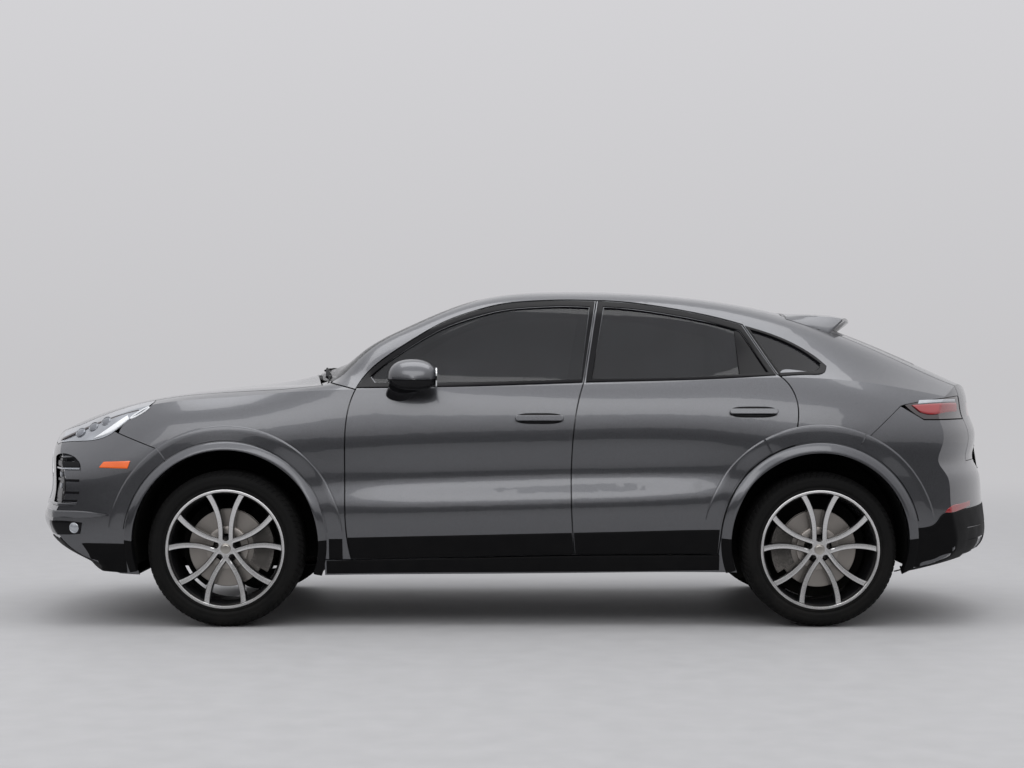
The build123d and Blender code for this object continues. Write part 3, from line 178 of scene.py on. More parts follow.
def colour_mix(tree, factor, first, second):
    """A mix of two colours: the third output of a mix node set to colours."""
    return wire(tree, "Mix", {0: factor, 6: first, 7: second}, data_type="RGBA").outputs[2]


COLOUR_IN = ("Colour", "Color", (0.5, 0.5, 0.5, 1))
ROUGHNESS_IN = ("Roughness", "Float", 0.5)
COLOUR_OUT, ROUGHNESS_OUT, NORMAL_OUT = ("Colour", "Color"), ("Roughness", "Float"), ("Normal", "Vector")


def grain_effect():
    """Moulded or cast grain: two noises and cells, as a bump normal, a roughness and a tinted colour."""
    tree, given, result = effect("grain", [
        COLOUR_IN, ROUGHNESS_IN, ("Scale", "Float", 900.0), ("Height", "Float", 0.1), ("Mottle", "Float", 0.1)],
        [COLOUR_OUT, ROUGHNESS_OUT, NORMAL_OUT])
    place = wire(tree, "TexCoord").outputs["Object"]
    fine = wire(tree, "TexNoise", {"Vector": place, "Scale": given["Scale"], "Detail": 3.0})
    cells = wire(tree, "TexVoronoi", {"Vector": place, "Scale": given["Scale"]})
    broad = wire(tree, "TexNoise", {"Vector": place, "Scale": 7.0, "Detail": 4.0})
    height = sums(tree, "MULTIPLY", fine, cells)
    bump = wire(tree, "Bump", {"Strength": given["Height"], "Distance": 0.0006, "Height": height})
    spread = wire(tree, "MapRange", {0: broad, 1: 0.3, 2: 0.7, 3: -1.0, 4: 1.0})
    gain = sums(tree, "ADD", sums(tree, "MULTIPLY", spread, given["Mottle"]), 1.0)
    rough = sums(tree, "MULTIPLY", given["Roughness"], gain, clamp=True)
    put(tree, result, {"Colour": scaled(tree, given["Colour"], gain), "Roughness": rough, "Normal": bump})
    return tree


def flake_effect():
    """Metallic paint: tiny cells that each lean their own way and differ in brightness, under a clear coat."""
    tree, given, result = effect("paint_flakes", [
        COLOUR_IN, ("Size", "Float", 1500.0), ("Sparkle", "Float", 0.15), ("Lean", "Float", 0.06)],
        [COLOUR_OUT, ROUGHNESS_OUT, NORMAL_OUT])
    place = wire(tree, "TexCoord").outputs["Object"]
    cells = wire(tree, "TexVoronoi", {"Vector": place, "Scale": given["Size"]})
    shade = wire(tree, "SeparateColor", {0: cells.outputs["Color"]})
    swing = wire(tree, "MapRange", {0: shade, 3: -1.0, 4: 1.0})
    gain = sums(tree, "ADD", sums(tree, "MULTIPLY", swing, given["Sparkle"]), 1.0)
    centred = wire(tree, "VectorMath", {0: cells.outputs["Color"], 1: (0.5, 0.5, 0.5)}, operation="SUBTRACT")
    facing = wire(tree, "NewGeometry").outputs["Normal"]
    turned = wire(tree, "VectorMath", {0: facing, 1: scaled(tree, centred, given["Lean"])}, operation="ADD")
    put(tree, result, {
        "Colour": scaled(tree, given["Colour"], gain),
        "Roughness": wire(tree, "MapRange", {0: shade.outputs[1], 3: 0.26, 4: 0.36}),
        "Normal": wire(tree, "VectorMath", {0: turned}, operation="NORMALIZE")})
    return tree


def dust_effect():
    """Dry dust low on the car: noise that fades out upwards between two heights, laid over a colour."""
    tree, given, result = effect("low_dust", [
        COLOUR_IN, ROUGHNESS_IN, ("Amount", "Float", 0.2), ("Top", "Float", 0.6)], [COLOUR_OUT, ROUGHNESS_OUT])
    place = wire(tree, "TexCoord").outputs["Object"]
    height = wire(tree, "SeparateXYZ", {0: place}).outputs[2]
    fade = wire(tree, "MapRange", {0: height, 1: given["Top"], 2: 0.0, 3: 0.0, 4: 1.0})
    drift = wire(tree, "TexNoise", {"Vector": place, "Scale": 14.0, "Detail": 8.0, "Roughness": 0.65})
    patchy = wire(tree, "MapRange", {0: drift, 1: 0.35, 2: 0.7})
    mask = sums(tree, "MULTIPLY", sums(tree, "MULTIPLY", fade, patchy), given["Amount"], clamp=True)
    put(tree, result, {
        "Colour": colour_mix(tree, mask, given["Colour"], (0.2, 0.18, 0.155, 1)),
        "Roughness": wire(tree, "Mix", {0: mask, 2: given["Roughness"], 3: 0.9})})
    return tree


def wear_effect():
    """Worn edges: where the surface turns sharply outwards, a noise lets the brighter colour through."""
    tree, given, result = effect("worn_edges", [
        COLOUR_IN, ("Bare", "Color", (0.4, 0.4, 0.4, 1)), ("Amount", "Float", 0.5)],
        [COLOUR_OUT, ("Worn", "Float")])
    place = wire(tree, "TexCoord").outputs["Object"]
    point = wire(tree, "NewGeometry").outputs["Pointiness"]
    edge = wire(tree, "MapRange", {0: point, 1: 0.53, 2: 0.6})
    noise = wire(tree, "TexNoise", {"Vector": place, "Scale": 160.0, "Detail": 5.0})
    rub = wire(tree, "MapRange", {0: noise, 1: 0.4, 2: 0.62})
    mask = sums(tree, "MULTIPLY", sums(tree, "MULTIPLY", edge, rub), given["Amount"], clamp=True)
    put(tree, result, {"Colour": colour_mix(tree, mask, given["Colour"], given["Bare"]), "Worn": mask})
    return tree


def lathe_effect():
    """Turning marks: fine noise in the distance from the axis, as colour, roughness and a bump normal."""
    tree, given, result = effect("turning_marks", [
        COLOUR_IN, ROUGHNESS_IN, ("Fineness", "Float", 3000.0), ("Depth", "Float", 0.1)],
        [COLOUR_OUT, ROUGHNESS_OUT, NORMAL_OUT])
    radius = wire(tree, "Attribute", attribute_name="turned").outputs["Fac"]
    along = sums(tree, "MULTIPLY", radius, given["Fineness"])
    marks = wire(tree, "TexNoise", {"W": along, "Scale": 1.0, "Detail": 2.0}, noise_dimensions="1D")
    swing = wire(tree, "MapRange", {0: marks, 1: 0.3, 2: 0.7, 3: 0.86, 4: 1.1})
    put(tree, result, {
        "Colour": scaled(tree, given["Colour"], swing),
        "Roughness": sums(tree, "MULTIPLY", given["Roughness"], swing),
        "Normal": wire(tree, "Bump", {"Strength": given["Depth"], "Distance": 0.0002, "Height": marks})})
    return tree


GRAIN, FLAKES, DUST, WEAR = grain_effect(), flake_effect(), dust_effect(), wear_effect()
LATHE = lathe_effect()


def placed(tree, group, inputs):
    """One use of a shared effect, with its own values."""
    node = tree.nodes.new("ShaderNodeGroup")
    node.node_tree = group
    put(tree, node.inputs, inputs)
    return node.outputs


def finish(name, **plain):
    """A new material: its tree and its Principled shader, with plain values on the shader's own sockets."""
    material = bpy.data.materials.new(name)
    material.use_nodes = True
    tree = material.node_tree
    shader = tree.nodes["Principled BSDF"]
    put(tree, shader.inputs, {key.replace("_", " "): value for key, value in plain.items()})
    return material, tree, shader


def moulded(name, colour, roughness, scale=900.0, height=0.15, mottle=0.12, dust=0.0, bare=None, metallic=0.0,
            coat=0.0, top=0.7, specular=0.5):
    """A grained finish, plastic or metal, that can be worn at its edges and dusty low down."""
    material, tree, shader = finish(name, Metallic=metallic, Coat_Weight=coat, Coat_Roughness=0.05,
                                    Specular_IOR_Level=specular)
    grain = placed(tree, GRAIN, {"Colour": (*colour, 1), "Roughness": roughness, "Scale": scale,
                                 "Height": height, "Mottle": mottle})
    tint, rough = grain["Colour"], grain["Roughness"]
    if bare:
        tint = placed(tree, WEAR, {"Colour": tint, "Bare": (*bare, 1)})["Colour"]
    if dust:
        dusty = placed(tree, DUST, {"Colour": tint, "Roughness": rough, "Amount": dust, "Top": top})
        tint, rough = dusty["Colour"], dusty["Roughness"]
    put(tree, shader.inputs, {"Base Color": tint, "Roughness": rough, "Normal": grain["Normal"]})
    return material


def paint(name, colour):
    """Metallic body paint: flakes in a dark base, and a smooth clear coat over them."""
    material, tree, shader = finish(name, Metallic=0.95, Coat_Weight=1.0, Coat_Roughness=0.03, Coat_IOR=1.5)
    flakes = placed(tree, FLAKES, {"Colour": (*colour, 1)})
    dusty = placed(tree, DUST, {"Colour": flakes["Colour"], "Roughness": flakes["Roughness"], "Amount": 0.06,
                                "Top": 0.8})
    put(tree, shader.inputs, {"Base Color": dusty["Colour"], "Roughness": dusty["Roughness"],
                              "Normal": flakes["Normal"]})
    return material


def glass(name, tint, cover, specular=0.5):
    """Tinted glass: a dark, glossy sheet that lets a plain share of the light straight through."""
    material, tree, shader = finish(name, Alpha=cover, IOR=1.5, Metallic=0.0, Specular_IOR_Level=specular)
    film = placed(tree, GRAIN, {"Colour": (*tint, 1), "Roughness": 0.02, "Scale": 60.0, "Height": 0.0,
                                "Mottle": 0.25})
    put(tree, shader.inputs, {"Base Color": film["Colour"], "Roughness": film["Roughness"]})
    return material


def machined(name, colour, roughness, fineness, depth, coat=0.0):
    """Bare turned metal."""
    material, tree, shader = finish(name, Metallic=1.0, Coat_Weight=coat)
    marks = placed(tree, LATHE, {"Colour": (*colour, 1), "Roughness": roughness, "Fineness": fineness,
                                 "Depth": depth})
    put(tree, shader.inputs, {"Base Color": marks["Colour"], "Roughness": marks["Roughness"],
                              "Normal": marks["Normal"]})
    return material


def coated(name, colour, roughness, scale, height=0.05, mottle=0.12, metallic=0.0):
    """A grained lamp part under a full clear coat."""
    return moulded(name, colour, roughness, scale, height, mottle, metallic=metallic, coat=1.0)


BODY_PAINT = paint("body_paint", (0.108, 0.110, 0.118))
GLOSS_BLACK = moulded("gloss_black", (0.006, 0.006, 0.007), 0.16, height=0.0, specular=0.17)
TRIM_BLACK = moulded("trim_black", (0.0035, 0.0035, 0.004), 0.55, scale=1400, height=0.2, dust=0.015,
                     specular=0.09)
LINER_BLACK = moulded("liner_black", (0.006, 0.006, 0.006), 0.9, scale=500, height=0.5, dust=0.08,
                      specular=0.1)
DARK_IRON = moulded("dark_iron", (0.09, 0.085, 0.08), 0.6, scale=300, height=0.5, dust=0.3, metallic=0.7,
                    bare=(0.3, 0.28, 0.26))
CAST_ALLOY = moulded("cast_alloy", (0.33, 0.33, 0.34), 0.5, scale=420, height=0.4, dust=0.25, metallic=0.9,
                     bare=(0.6, 0.6, 0.6))
STEEL = moulded("bright_steel", (0.6, 0.6, 0.6), 0.22, scale=700, height=0.05, metallic=1.0)
TINTED = glass("tinted_glass", (0.010, 0.011, 0.013), 0.74)
SCREEN = glass("screen_glass", (0.008, 0.010, 0.009), 0.56)
SMOKED = glass("smoked_glass", (0.008, 0.008, 0.009), 0.88)
QUARTER_PANE_GLASS = glass("quarter_tint", (0.008, 0.008, 0.010), 0.90, specular=0.22)
LENS = coated("lamp_lens", (0.30, 0.315, 0.34), 0.12, 120, height=0.03, mottle=0.25, metallic=0.45)
RED_LENS = coated("red_lens", (0.22, 0.008, 0.010), 0.10, 300)
SMOKE_LENS = coated("smoke_lens", (0.022, 0.014, 0.015), 0.10, 300)
AMBER = coated("amber_lens", (0.85, 0.13, 0.008), 0.15, 300, height=0.1)
RED_GLOW = coated("red_lamp", (0.26, 0.014, 0.018), 0.14, 260, height=0.15)
LAMP_WHITE = coated("lamp_white", (0.80, 0.82, 0.84), 0.12, 500)
LAMP_GREY = coated("lamp_grey", (0.42, 0.44, 0.47), 0.16, 140, mottle=0.2, metallic=0.35)
LAMP_DARK = coated("lamp_dark", (0.16, 0.17, 0.19), 0.10, 200, mottle=0.2, metallic=0.6)
CABIN = moulded("cabin_plastic", (0.03, 0.03, 0.032), 0.6, scale=700, height=0.3)
CARPET = moulded("cabin_carpet", (0.02, 0.02, 0.021), 0.95, scale=1500, height=0.9)
LEATHER = moulded("leather", (0.022, 0.021, 0.021), 0.5, scale=420, height=0.5)
RUBBER = moulded("tyre_rubber", (0.005, 0.005, 0.005), 0.75, scale=600, height=0.25, dust=0.03, top=0.8,
                 specular=0.13)
MACHINED = machined("machined_alloy", (0.74, 0.735, 0.73), 0.3, 2600.0, 0.12, coat=0.3)
DISC_IRON = machined("disc_iron", (0.36, 0.335, 0.31), 0.38, 1800.0, 0.3)
WHEEL_BLACK = moulded("wheel_black", (0.012, 0.012, 0.013), 0.22, height=0.02, coat=0.5)
CAP_METAL = moulded("cap_metal", (0.42, 0.40, 0.37), 0.3, height=0.05, metallic=1.0)
MIRROR_GLASS = moulded("mirror_glass", (0.72, 0.73, 0.74), 0.03, height=0.0, mottle=0.02, metallic=1.0)
PLATE = moulded("plate_blank", (0.62, 0.62, 0.60), 0.4, scale=300, height=0.1, dust=0.1)
CHROME = moulded("satin_chrome", (0.62, 0.63, 0.64), 0.18, height=0.02, metallic=1.0)

# The finish of each CAD node; a name with a trailing _ stands for its left and right node.
NODE_FINISHES = (
    (BODY_PAINT, "body_side_ front_bumper front_wings hood roof_panel tailgate roof_spoiler rear_bumper "
                 "front_door_ rear_door_ mirror_"),
    (SCREEN, "windshield"), (SMOKED, "roof_glass rear_glass"), (QUARTER_PANE_GLASS, "quarter_glass"),
    (TINTED, "front_door_glass_ rear_door_glass_"), (LENS, "headlamps"), (SMOKE_LENS, "tail_lamps"),
    (RED_LENS, "tail_light_strip"),
    (TRIM_BLACK, "cowl_panel front_grille rear_diffuser undertray front_end_carrier"),
    (LINER_BLACK, "wheel_liners"), (CABIN, "dashboard"), (CARPET, "floor_pan"),
    (LEATHER, "front_seats rear_bench steering_wheel"), (STEEL, "exhaust_system"),
    (CAST_ALLOY, "engine_block front_wheel_ rear_wheel_"), (DARK_IRON, "front_axle rear_axle front_knuckle_"),
    (RUBBER, "front_tyre_ rear_tyre_"))
SIDES = ((-1, "left"), (1, "right"))
for material, names in NODE_FINISHES:
    for name in names.split():
        for node in [name + hand for side, hand in SIDES] if name.endswith("_") else [name]:
            nodes[node].data.materials.clear()
            nodes[node].data.materials.append(material)


# ---- wheels ---------------------------------------------------------------------------------------------------
# Wheel shapes are worked out about the wheel's own axis. Sections turned about it are rows of (radius, depth),
# where depth is 0 at the outer face; a spoke's section is rows of (half width share, width added, depth).
RIM = 0.284
PAIRS = 5
DISC = 0.190
DISC_DEPTH = 0.104
STEPS = 144
SPOKE_ROOT = 0.10
RIM_LIP = ((0.2755, -0.011), (0.2765, -0.0055), (0.2785, -0.0035), (0.2862, -0.0025), (0.2892, -0.0045),
           (0.2895, -0.008), (0.2838, -0.0125), (0.2765, -0.0125))
SPOKE_FACE = ((-1, -0.0004, -0.0016), (-1, 0.0006, 0.0), (-0.4, 0, 0.0007), (0.4, 0, 0.0007), (1, -0.0006, 0.0),
              (1, 0.0004, -0.0016), (0.4, 0, -0.0016), (-0.4, 0, -0.0016))
SPOKE_RIB = ((-1, -0.0012, -0.0012), (1, 0.0012, -0.0012), (1, 0.0025, -0.006), (1, 0.0055, -0.028),
             (1, 0.001, -0.040), (-1, -0.001, -0.040), (-1, -0.0055, -0.028), (-1, -0.0025, -0.006))
CAP = ((0.0, -0.0285), (0.012, -0.0287), (0.0195, -0.0296), (0.0206, -0.0305), (0.0218, -0.0296),
       (0.0245, -0.0302), (0.0255, -0.0325), (0.0255, -0.037), (0.0, -0.037))
BRAKE_DISC = ((0.100, 0.018), (0.104, 0.016), (0.106, 0), (DISC - 0.002, 0), (DISC, -0.002), (DISC, -0.009),
              (DISC - 0.006, -0.010), (DISC - 0.006, -0.020), (DISC, -0.021), (DISC, -0.028),
              (DISC - 0.002, -0.030), (0.07, -0.030), (0.07, 0.018))
TYRE_WALL = ((0.285, -0.016), (0.290, -0.0065), (0.2945, -0.003), (0.299, -0.0035), (0.303, -0.0065),
             (0.312, -0.002), (0.326, -0.0005), (0.340, -0.0015), (0.352, -0.006), (0.361, -0.0135),
             (0.3675, -0.022), (0.3725, -0.032))
# The hub star's face and the dark well under it, as rows of (depth, radius at a slot, radius at a valley).
HUB_FACE = ((-0.0334, 0.020, 0.020), (-0.0334, 0.036, 0.060), (-0.035, 0.0365, 0.0605), (-0.035, 0.020, 0.020))
HUB_WELL = ((-0.0352, 0.001, 0.001), (-0.0352, 0.038, 0.0615), (-0.060, 0.045, 0.066), (-0.078, 0.060, 0.068),
            (-0.078, 0.001, 0.001))
SWING_FROM, SWING_RUN = 0.25, 0.7        # where a spoke starts to swing away and over how much, in rim radii
AWAY, AWAY_MORE, AWAY_POWER = 0.088, 0.212, 2.2     # its distance from the slot's axis, in rim radii
HALF, HALF_MORE, HALF_FOOT = 0.0098, 0.0022, 0.006  # its half width at the hub, and what is added further out
DISH, DISH_RISE = -0.034, 0.022          # the face's depth at the axis and its rise out to the rim
WALL_RADIUS = 0.381                      # the tyre radius that TYRE_WALL is drawn for
PITCHES, PER_PITCH = 76, 8
GROOVES, GROOVE_HALF, GROOVE_EDGE = (0.024, 0.068), 0.0062, 0.0018     # places, half width and sloped edge
GROOVE_DEEP, SIPE_DEEP, CUT_DEEP = 0.0075, 0.0045, 0.003
RIB_RADIUS, RIB_HALF, RIB_STEP, RIB_DEEP = 0.331, 0.004, 1.5, 0.0006   # fine ribs on the wall, step in degrees


def turned_ring(profile, steps):
    """A closed profile of (radius, depth) carried round the Y axis: x = r sin a, z = r cos a, y = depth."""
    r, d = np.asarray(profile, float).T
    a = turn(steps)
    return closed(r * np.sin(a), d, r * np.cos(a), loop=True)


def smooth_line(knots, values, at):
    """A natural cubic through values at knots, worked out at every point of at."""
    knots, values, at = (np.asarray(v, float) for v in (knots, values, at))
    values = values.reshape(len(knots), -1)
    n, h = len(knots), np.diff(knots)
    system, right = np.eye(n), np.zeros((n, values.shape[1]))
    for i in range(1, n - 1):
        system[i, i - 1:i + 2] = h[i - 1], 2 * (h[i - 1] + h[i]), h[i]
        right[i] = 6 * ((values[i + 1] - values[i]) / h[i] - (values[i] - values[i - 1]) / h[i - 1])
    bend = np.linalg.solve(system, right)
    k = np.clip(np.searchsorted(knots, at) - 1, 0, n - 2)
    t, w = at - knots[k], h[k]
    u = knots[k + 1] - at
    t, u, w = t[..., None], u[..., None], w[..., None]
    return (bend[k] * u**3 + bend[k + 1] * t**3) / (6 * w) + (values[k] / w - bend[k] * w / 6) * u \
        + (values[k + 1] / w - bend[k + 1] * w / 6) * t


def spoke(section, end, rows, hand):
    """One spoke: a closed section carried along a line that runs beside the slot's axis and then swings away to
    the rim as the power 2.2 of the distance; it widens evenly, and more over its last tenth."""
    s = np.linspace(SPOKE_ROOT, end, rows) * RIM
    t = np.clip((s / RIM - SWING_FROM) / SWING_RUN, 0, 1)
    away = RIM * (AWAY + AWAY_MORE * t**AWAY_POWER)
    ahead, aside = np.gradient(s), np.gradient(away)
    size = np.hypot(ahead, aside)
    cross_x, cross_z = ahead / size, -aside / size
    half = HALF + HALF_MORE * t + HALF_FOOT * np.clip((s / RIM - 0.88) / 0.1, 0, 1)**2
    share, added, depth = np.asarray(section, float).T[:, None]
    over = share * half[:, None] + added
    x = away[:, None] + over * cross_x[:, None]
    z = s[:, None] + over * cross_z[:, None]
    depth = depth + DISH + DISH_RISE * ((x**2 + z**2) / RIM**2)
    return closed(hand * x, depth, z)


def every_pair(section, end, rows):
    """A spoke carried out twice, mirrored, for each of the pairs, each pair turned about the Y axis."""
    parts = []
    for k in range(PAIRS):
        c, s = math.cos(2 * math.pi * k / PAIRS), math.sin(2 * math.pi * k / PAIRS)
        for hand in (-1, 1):
            points, faces = spoke(section, end, rows, hand)
            parts.append((points @ np.array([[c, 0, -s], [0, 1, 0], [s, 0, c]]), faces))
    return joined(parts)


def star(section):
    """The hub star: a disc whose edge swings between the slots' ends and the valleys between pairs,
    r = inner + (outer - inner) * (half of 1 - cos(5a)) to the power 1.5, ring by ring down the section."""
    a = turn(160)
    lobe = (0.5 - 0.5 * np.cos(PAIRS * a))**1.5
    depth, inner, outer = np.array(section).T
    r = inner + (outer - inner) * lobe
    return closed(r * np.sin(a), depth, r * np.cos(a), loop=True)


def tyre_surface(radius, width):
    """The tyre: a rounded profile carried round, with grooves cut where |depth from the middle| or the
    angle's phase falls inside a groove, and ridges and rings on the wall."""
    key = np.array([(r + (radius - WALL_RADIUS) * np.clip((r - 0.3) / 0.08, 0, 1), d) for r, d in TYRE_WALL])
    run = np.concatenate([[0], np.cumsum(np.hypot(*np.diff(key, axis=0).T))])
    fine = smooth_line(run, key, np.linspace(0, run[-1], 44))
    tread = np.linspace(-0.034, -width / 2, 30)[1:]
    lift = radius - 0.0008 - 0.006 * ((tread + width / 2) / (width / 2))**4
    half = np.concatenate([fine, np.stack([lift, tread], -1)])
    other = np.stack([half[-2::-1, 0], -width - half[-2::-1, 1]], -1)
    inner = np.array([(0.281, -width + 0.016), (0.279, -width + 0.03), (0.279, -0.03), (0.281, -0.016)])
    profile = np.concatenate([half, other, inner])
    a = turn(PITCHES * PER_PITCH)
    r, d = profile[None, :, 0] + 0 * a, profile[None, :, 1] + 0 * a
    off = np.abs(d + width / 2)
    beside = np.minimum(*(np.abs(off - middle) for middle in GROOVES))
    groove = np.clip((GROOVE_HALF - beside) / GROOVE_EDGE, 0, 1)
    phase = np.mod(a * PITCHES / (2 * np.pi) + off * 16 + 0.5 * (d > -width / 2), 1)
    sipe = (np.abs(phase - 0.5) > 0.41) * (off > 0.078) * (r > radius - 0.024)
    thin = (np.abs(phase - 0.5) < 0.04) * (off > 0.03) * (off < 0.062) * (r > radius - 0.01)
    deep = np.maximum(groove * GROOVE_DEEP, np.maximum(sipe * SIPE_DEEP, thin * CUT_DEEP))
    r = r - deep * (r > radius - 0.026)
    ribs = (np.mod(a * 180 / np.pi, RIB_STEP) < RIB_STEP / 2) * (np.abs(r - RIB_RADIUS) < RIB_HALF)
    d = d - ribs * (d > -0.02) * RIB_DEEP
    return closed(r * np.sin(a), d, r * np.cos(a), loop=True)


def mark_turned(piece, centre):
    """Stores each point's distance from the wheel's axis, for turning marks that follow the lathe."""
    points = mesh_points(piece.data) - centre
    radius = np.hypot(points[:, 0], points[:, 2])
    piece.data.attributes.new("turned", "FLOAT", "POINT").data.foreach_set("value", radius.astype(np.float32))


def fit_wheel(end, hand):
    """Rim, spokes, star, cap, disc and tyre for one corner, all turning with its wheel body, in the place of the
    CAD wheel and tyre."""
    tyre, wheel = f"{end}_tyre_{hand}", f"{end}_wheel_{hand}"
    low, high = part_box(tyre)
    side = -1 if low[1] < 0 else 1
    radius, width = (high[2] - low[2]) / 2, high[1] - low[1]
    cx, face, cz = (low[0] + high[0]) / 2, max(abs(low[1]), abs(high[1])), (low[2] + high[2]) / 2
    back = -width + 0.008
    barrel = ((0.2765, -0.009), (0.2735, -0.012), (0.268, -0.035), (0.262, -0.06), (0.258, -0.11),
              (0.2565, back + 0.02), (0.2735, back), (0.2838, back - 0.006), (0.2838, back + 0.002),
              (0.272, back + 0.012), (0.2625, back + 0.03), (0.2635, -0.11), (0.269, -0.06), (0.275, -0.034),
              (0.2838, -0.016), (0.2838, -0.010))
    made = {}
    for label, (points, faces), material, angle in (
            ("barrel", turned_ring(barrel, STEPS), WHEEL_BLACK, 35),
            ("rim_ring", turned_ring(RIM_LIP, 192), MACHINED, 35),
            ("spoke_face", every_pair(SPOKE_FACE, 0.968, 34), MACHINED, 50),
            ("spoke_back", every_pair(SPOKE_RIB, 0.975, 26), WHEEL_BLACK, 50),
            ("hub_face", star(HUB_FACE), MACHINED, 35), ("hub_well", star(HUB_WELL), WHEEL_BLACK, 35),
            ("wheel_cap", turned_ring(CAP, 48), CAP_METAL, 35),
            ("brake_disc", turned_ring([(r, d - DISC_DEPTH) for r, d in BRAKE_DISC], STEPS), DISC_IRON, 35),
            ("tyre", tyre_surface(radius, width), RUBBER, 30)):
        points = (points + (0, face, 0)) * (1, side, 1) + (cx, 0, cz)
        made[label] = body_piece(f"{label}_{end}_{hand}", (points, faces), material, wheel, angle=angle)
        mark_turned(made[label], (cx, face, cz))
    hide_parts(tyre)
    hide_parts(wheel)


for end in ("front", "rear"):
    for side, hand in SIDES:
        fit_wheel(end, hand)


# ---- the body's skin ------------------------------------------------------------------------------------------
# Feature lines from the sill to the crown as (x, half width, height), and the roof's centreline as (x, height).
FEATURES = (
    ((-2.465, .700, .470), (-2.240, .820, .340), (-2.000, .890, .262), (-1.417, .915, .240),
     (-.834, .912, .252), (0, .915, .258), (.900, .918, .266), (1.479, .920, .255), (1.900, .905, .250),
     (2.250, .850, .310), (2.465, .760, .400)),
    ((-2.465, .745, .500), (-2.240, .870, .450), (-2.000, .940, .430), (-1.417, .965, .430),
     (-.834, .950, .438), (0, .950, .452), (.900, .952, .474), (1.479, .965, .470), (1.900, .965, .450),
     (2.250, .905, .460), (2.465, .830, .480)),
    ((-2.465, .755, .530), (-2.240, .875, .540), (-2.000, .948, .560), (-1.417, .978, .580),
     (-.834, .960, .600), (0, .963, .623), (.900, .965, .650), (1.479, .985, .650), (1.900, .975, .640),
     (2.250, .910, .620), (2.465, .825, .600)),
    ((-2.465, .755, .580), (-2.240, .872, .620), (-2.000, .942, .660), (-1.417, .974, .700),
     (-1.000, .946, .695), (-.400, .930, .702), (0, .930, .712), (.600, .934, .725), (.900, .945, .730),
     (1.200, .969, .735), (1.479, .986, .735), (1.900, .972, .730), (2.250, .905, .720), (2.465, .820, .700)),
    ((-2.465, .750, .640), (-2.240, .860, .730), (-2.000, .925, .790), (-1.417, .964, .860),
     (-1.000, .950, .880), (-.600, .940, .880), (0, .938, .885), (.900, .950, .900), (1.300, .978, .905),
     (1.479, .984, .905), (1.900, .968, .890), (2.250, .895, .860), (2.465, .800, .820)),
    ((-2.465, .720, .740), (-2.240, .810, .850), (-2.088, .850, .890), (-1.850, .893, .975),
     (-1.417, .930, 1.015), (-1.000, .926, 1.040), (-.600, .922, 1.045), (0, .922, 1.055), (.900, .932, 1.070),
     (1.479, .948, 1.080), (1.900, .930, 1.050), (2.250, .860, 1.000), (2.465, .760, .950)),
    ((-2.465, .640, .800), (-2.240, .735, .925), (-2.088, .775, .985), (-1.850, .828, 1.072),
     (-1.417, .862, 1.118), (-1.000, .886, 1.150), (-.787, .893, 1.157), (-.100, .884, 1.171),
     (.400, .878, 1.184), (.900, .880, 1.199), (1.300, .888, 1.216), (1.600, .880, 1.208),
     (1.900, .850, 1.160), (2.250, .780, 1.096), (2.465, .700, 1.040)),
    ((-2.465, .560, .822), (-2.240, .665, .957), (-2.088, .700, 1.015), (-1.850, .745, 1.092),
     (-1.417, .775, 1.146), (-1.000, .835, 1.172), (-.824, .838, 1.200), (-.620, .818, 1.262),
     (-.280, .780, 1.360), (0, .771, 1.392), (.400, .770, 1.405), (.900, .782, 1.390), (1.300, .790, 1.345),
     (1.600, .785, 1.290), (1.900, .760, 1.220), (2.250, .700, 1.130), (2.465, .600, 1.065)),
    ((-2.465, .470, .836), (-2.240, .540, .981), (-2.088, .560, 1.039), (-1.850, .600, 1.105),
     (-1.417, .640, 1.158), (-1.060, .720, 1.176), (-.936, .795, 1.186), (-.824, .785, 1.260),
     (-.722, .770, 1.322), (-.620, .752, 1.388), (-.468, .722, 1.464), (-.280, .688, 1.552),
     (-.060, .664, 1.592), (.200, .652, 1.612), (.500, .650, 1.612), (.900, .655, 1.580), (1.300, .650, 1.505),
     (1.600, .640, 1.410), (1.900, .615, 1.310), (2.250, .570, 1.172), (2.465, .500, 1.085)),
    ((-2.465, .300, .846), (-2.240, .300, .992), (-2.088, .310, 1.050), (-1.850, .330, 1.112),
     (-1.417, .350, 1.170), (-1.060, .400, 1.212), (-.936, .430, 1.250), (-.824, .430, 1.312),
     (-.620, .420, 1.424), (-.407, .410, 1.526), (-.192, .400, 1.606), (.022, .400, 1.640),
     (.237, .400, 1.655), (.451, .400, 1.657), (.900, .400, 1.619), (1.331, .390, 1.550), (1.600, .380, 1.472),
     (1.900, .360, 1.360), (2.250, .330, 1.197), (2.465, .300, 1.100)))
ROOF_CENTRE = ((-2.465, .850), (-2.380, .918), (-2.240, .996), (-2.100, 1.052), (-1.970, 1.089), (-1.690, 1.137),
               (-1.320, 1.190), (-1.075, 1.222), (-1.010, 1.234), (-.943, 1.266), (-.835, 1.325), (-.621, 1.440),
               (-.407, 1.542), (-.192, 1.624), (.022, 1.659), (.237, 1.674), (.380, 1.676), (.530, 1.673),
               (.773, 1.654), (.988, 1.628), (1.202, 1.594), (1.331, 1.566), (1.479, 1.526), (1.722, 1.452),
               (1.958, 1.352), (2.124, 1.273), (2.366, 1.151), (2.465, 1.102))
STATIONS = np.array((-2.520, -2.300, -2.070, -1.800, -1.417, -1.100, -.936, -.760, -.540, -.220, .220, .800, 1.340,
                     1.790, 2.180, 2.520))


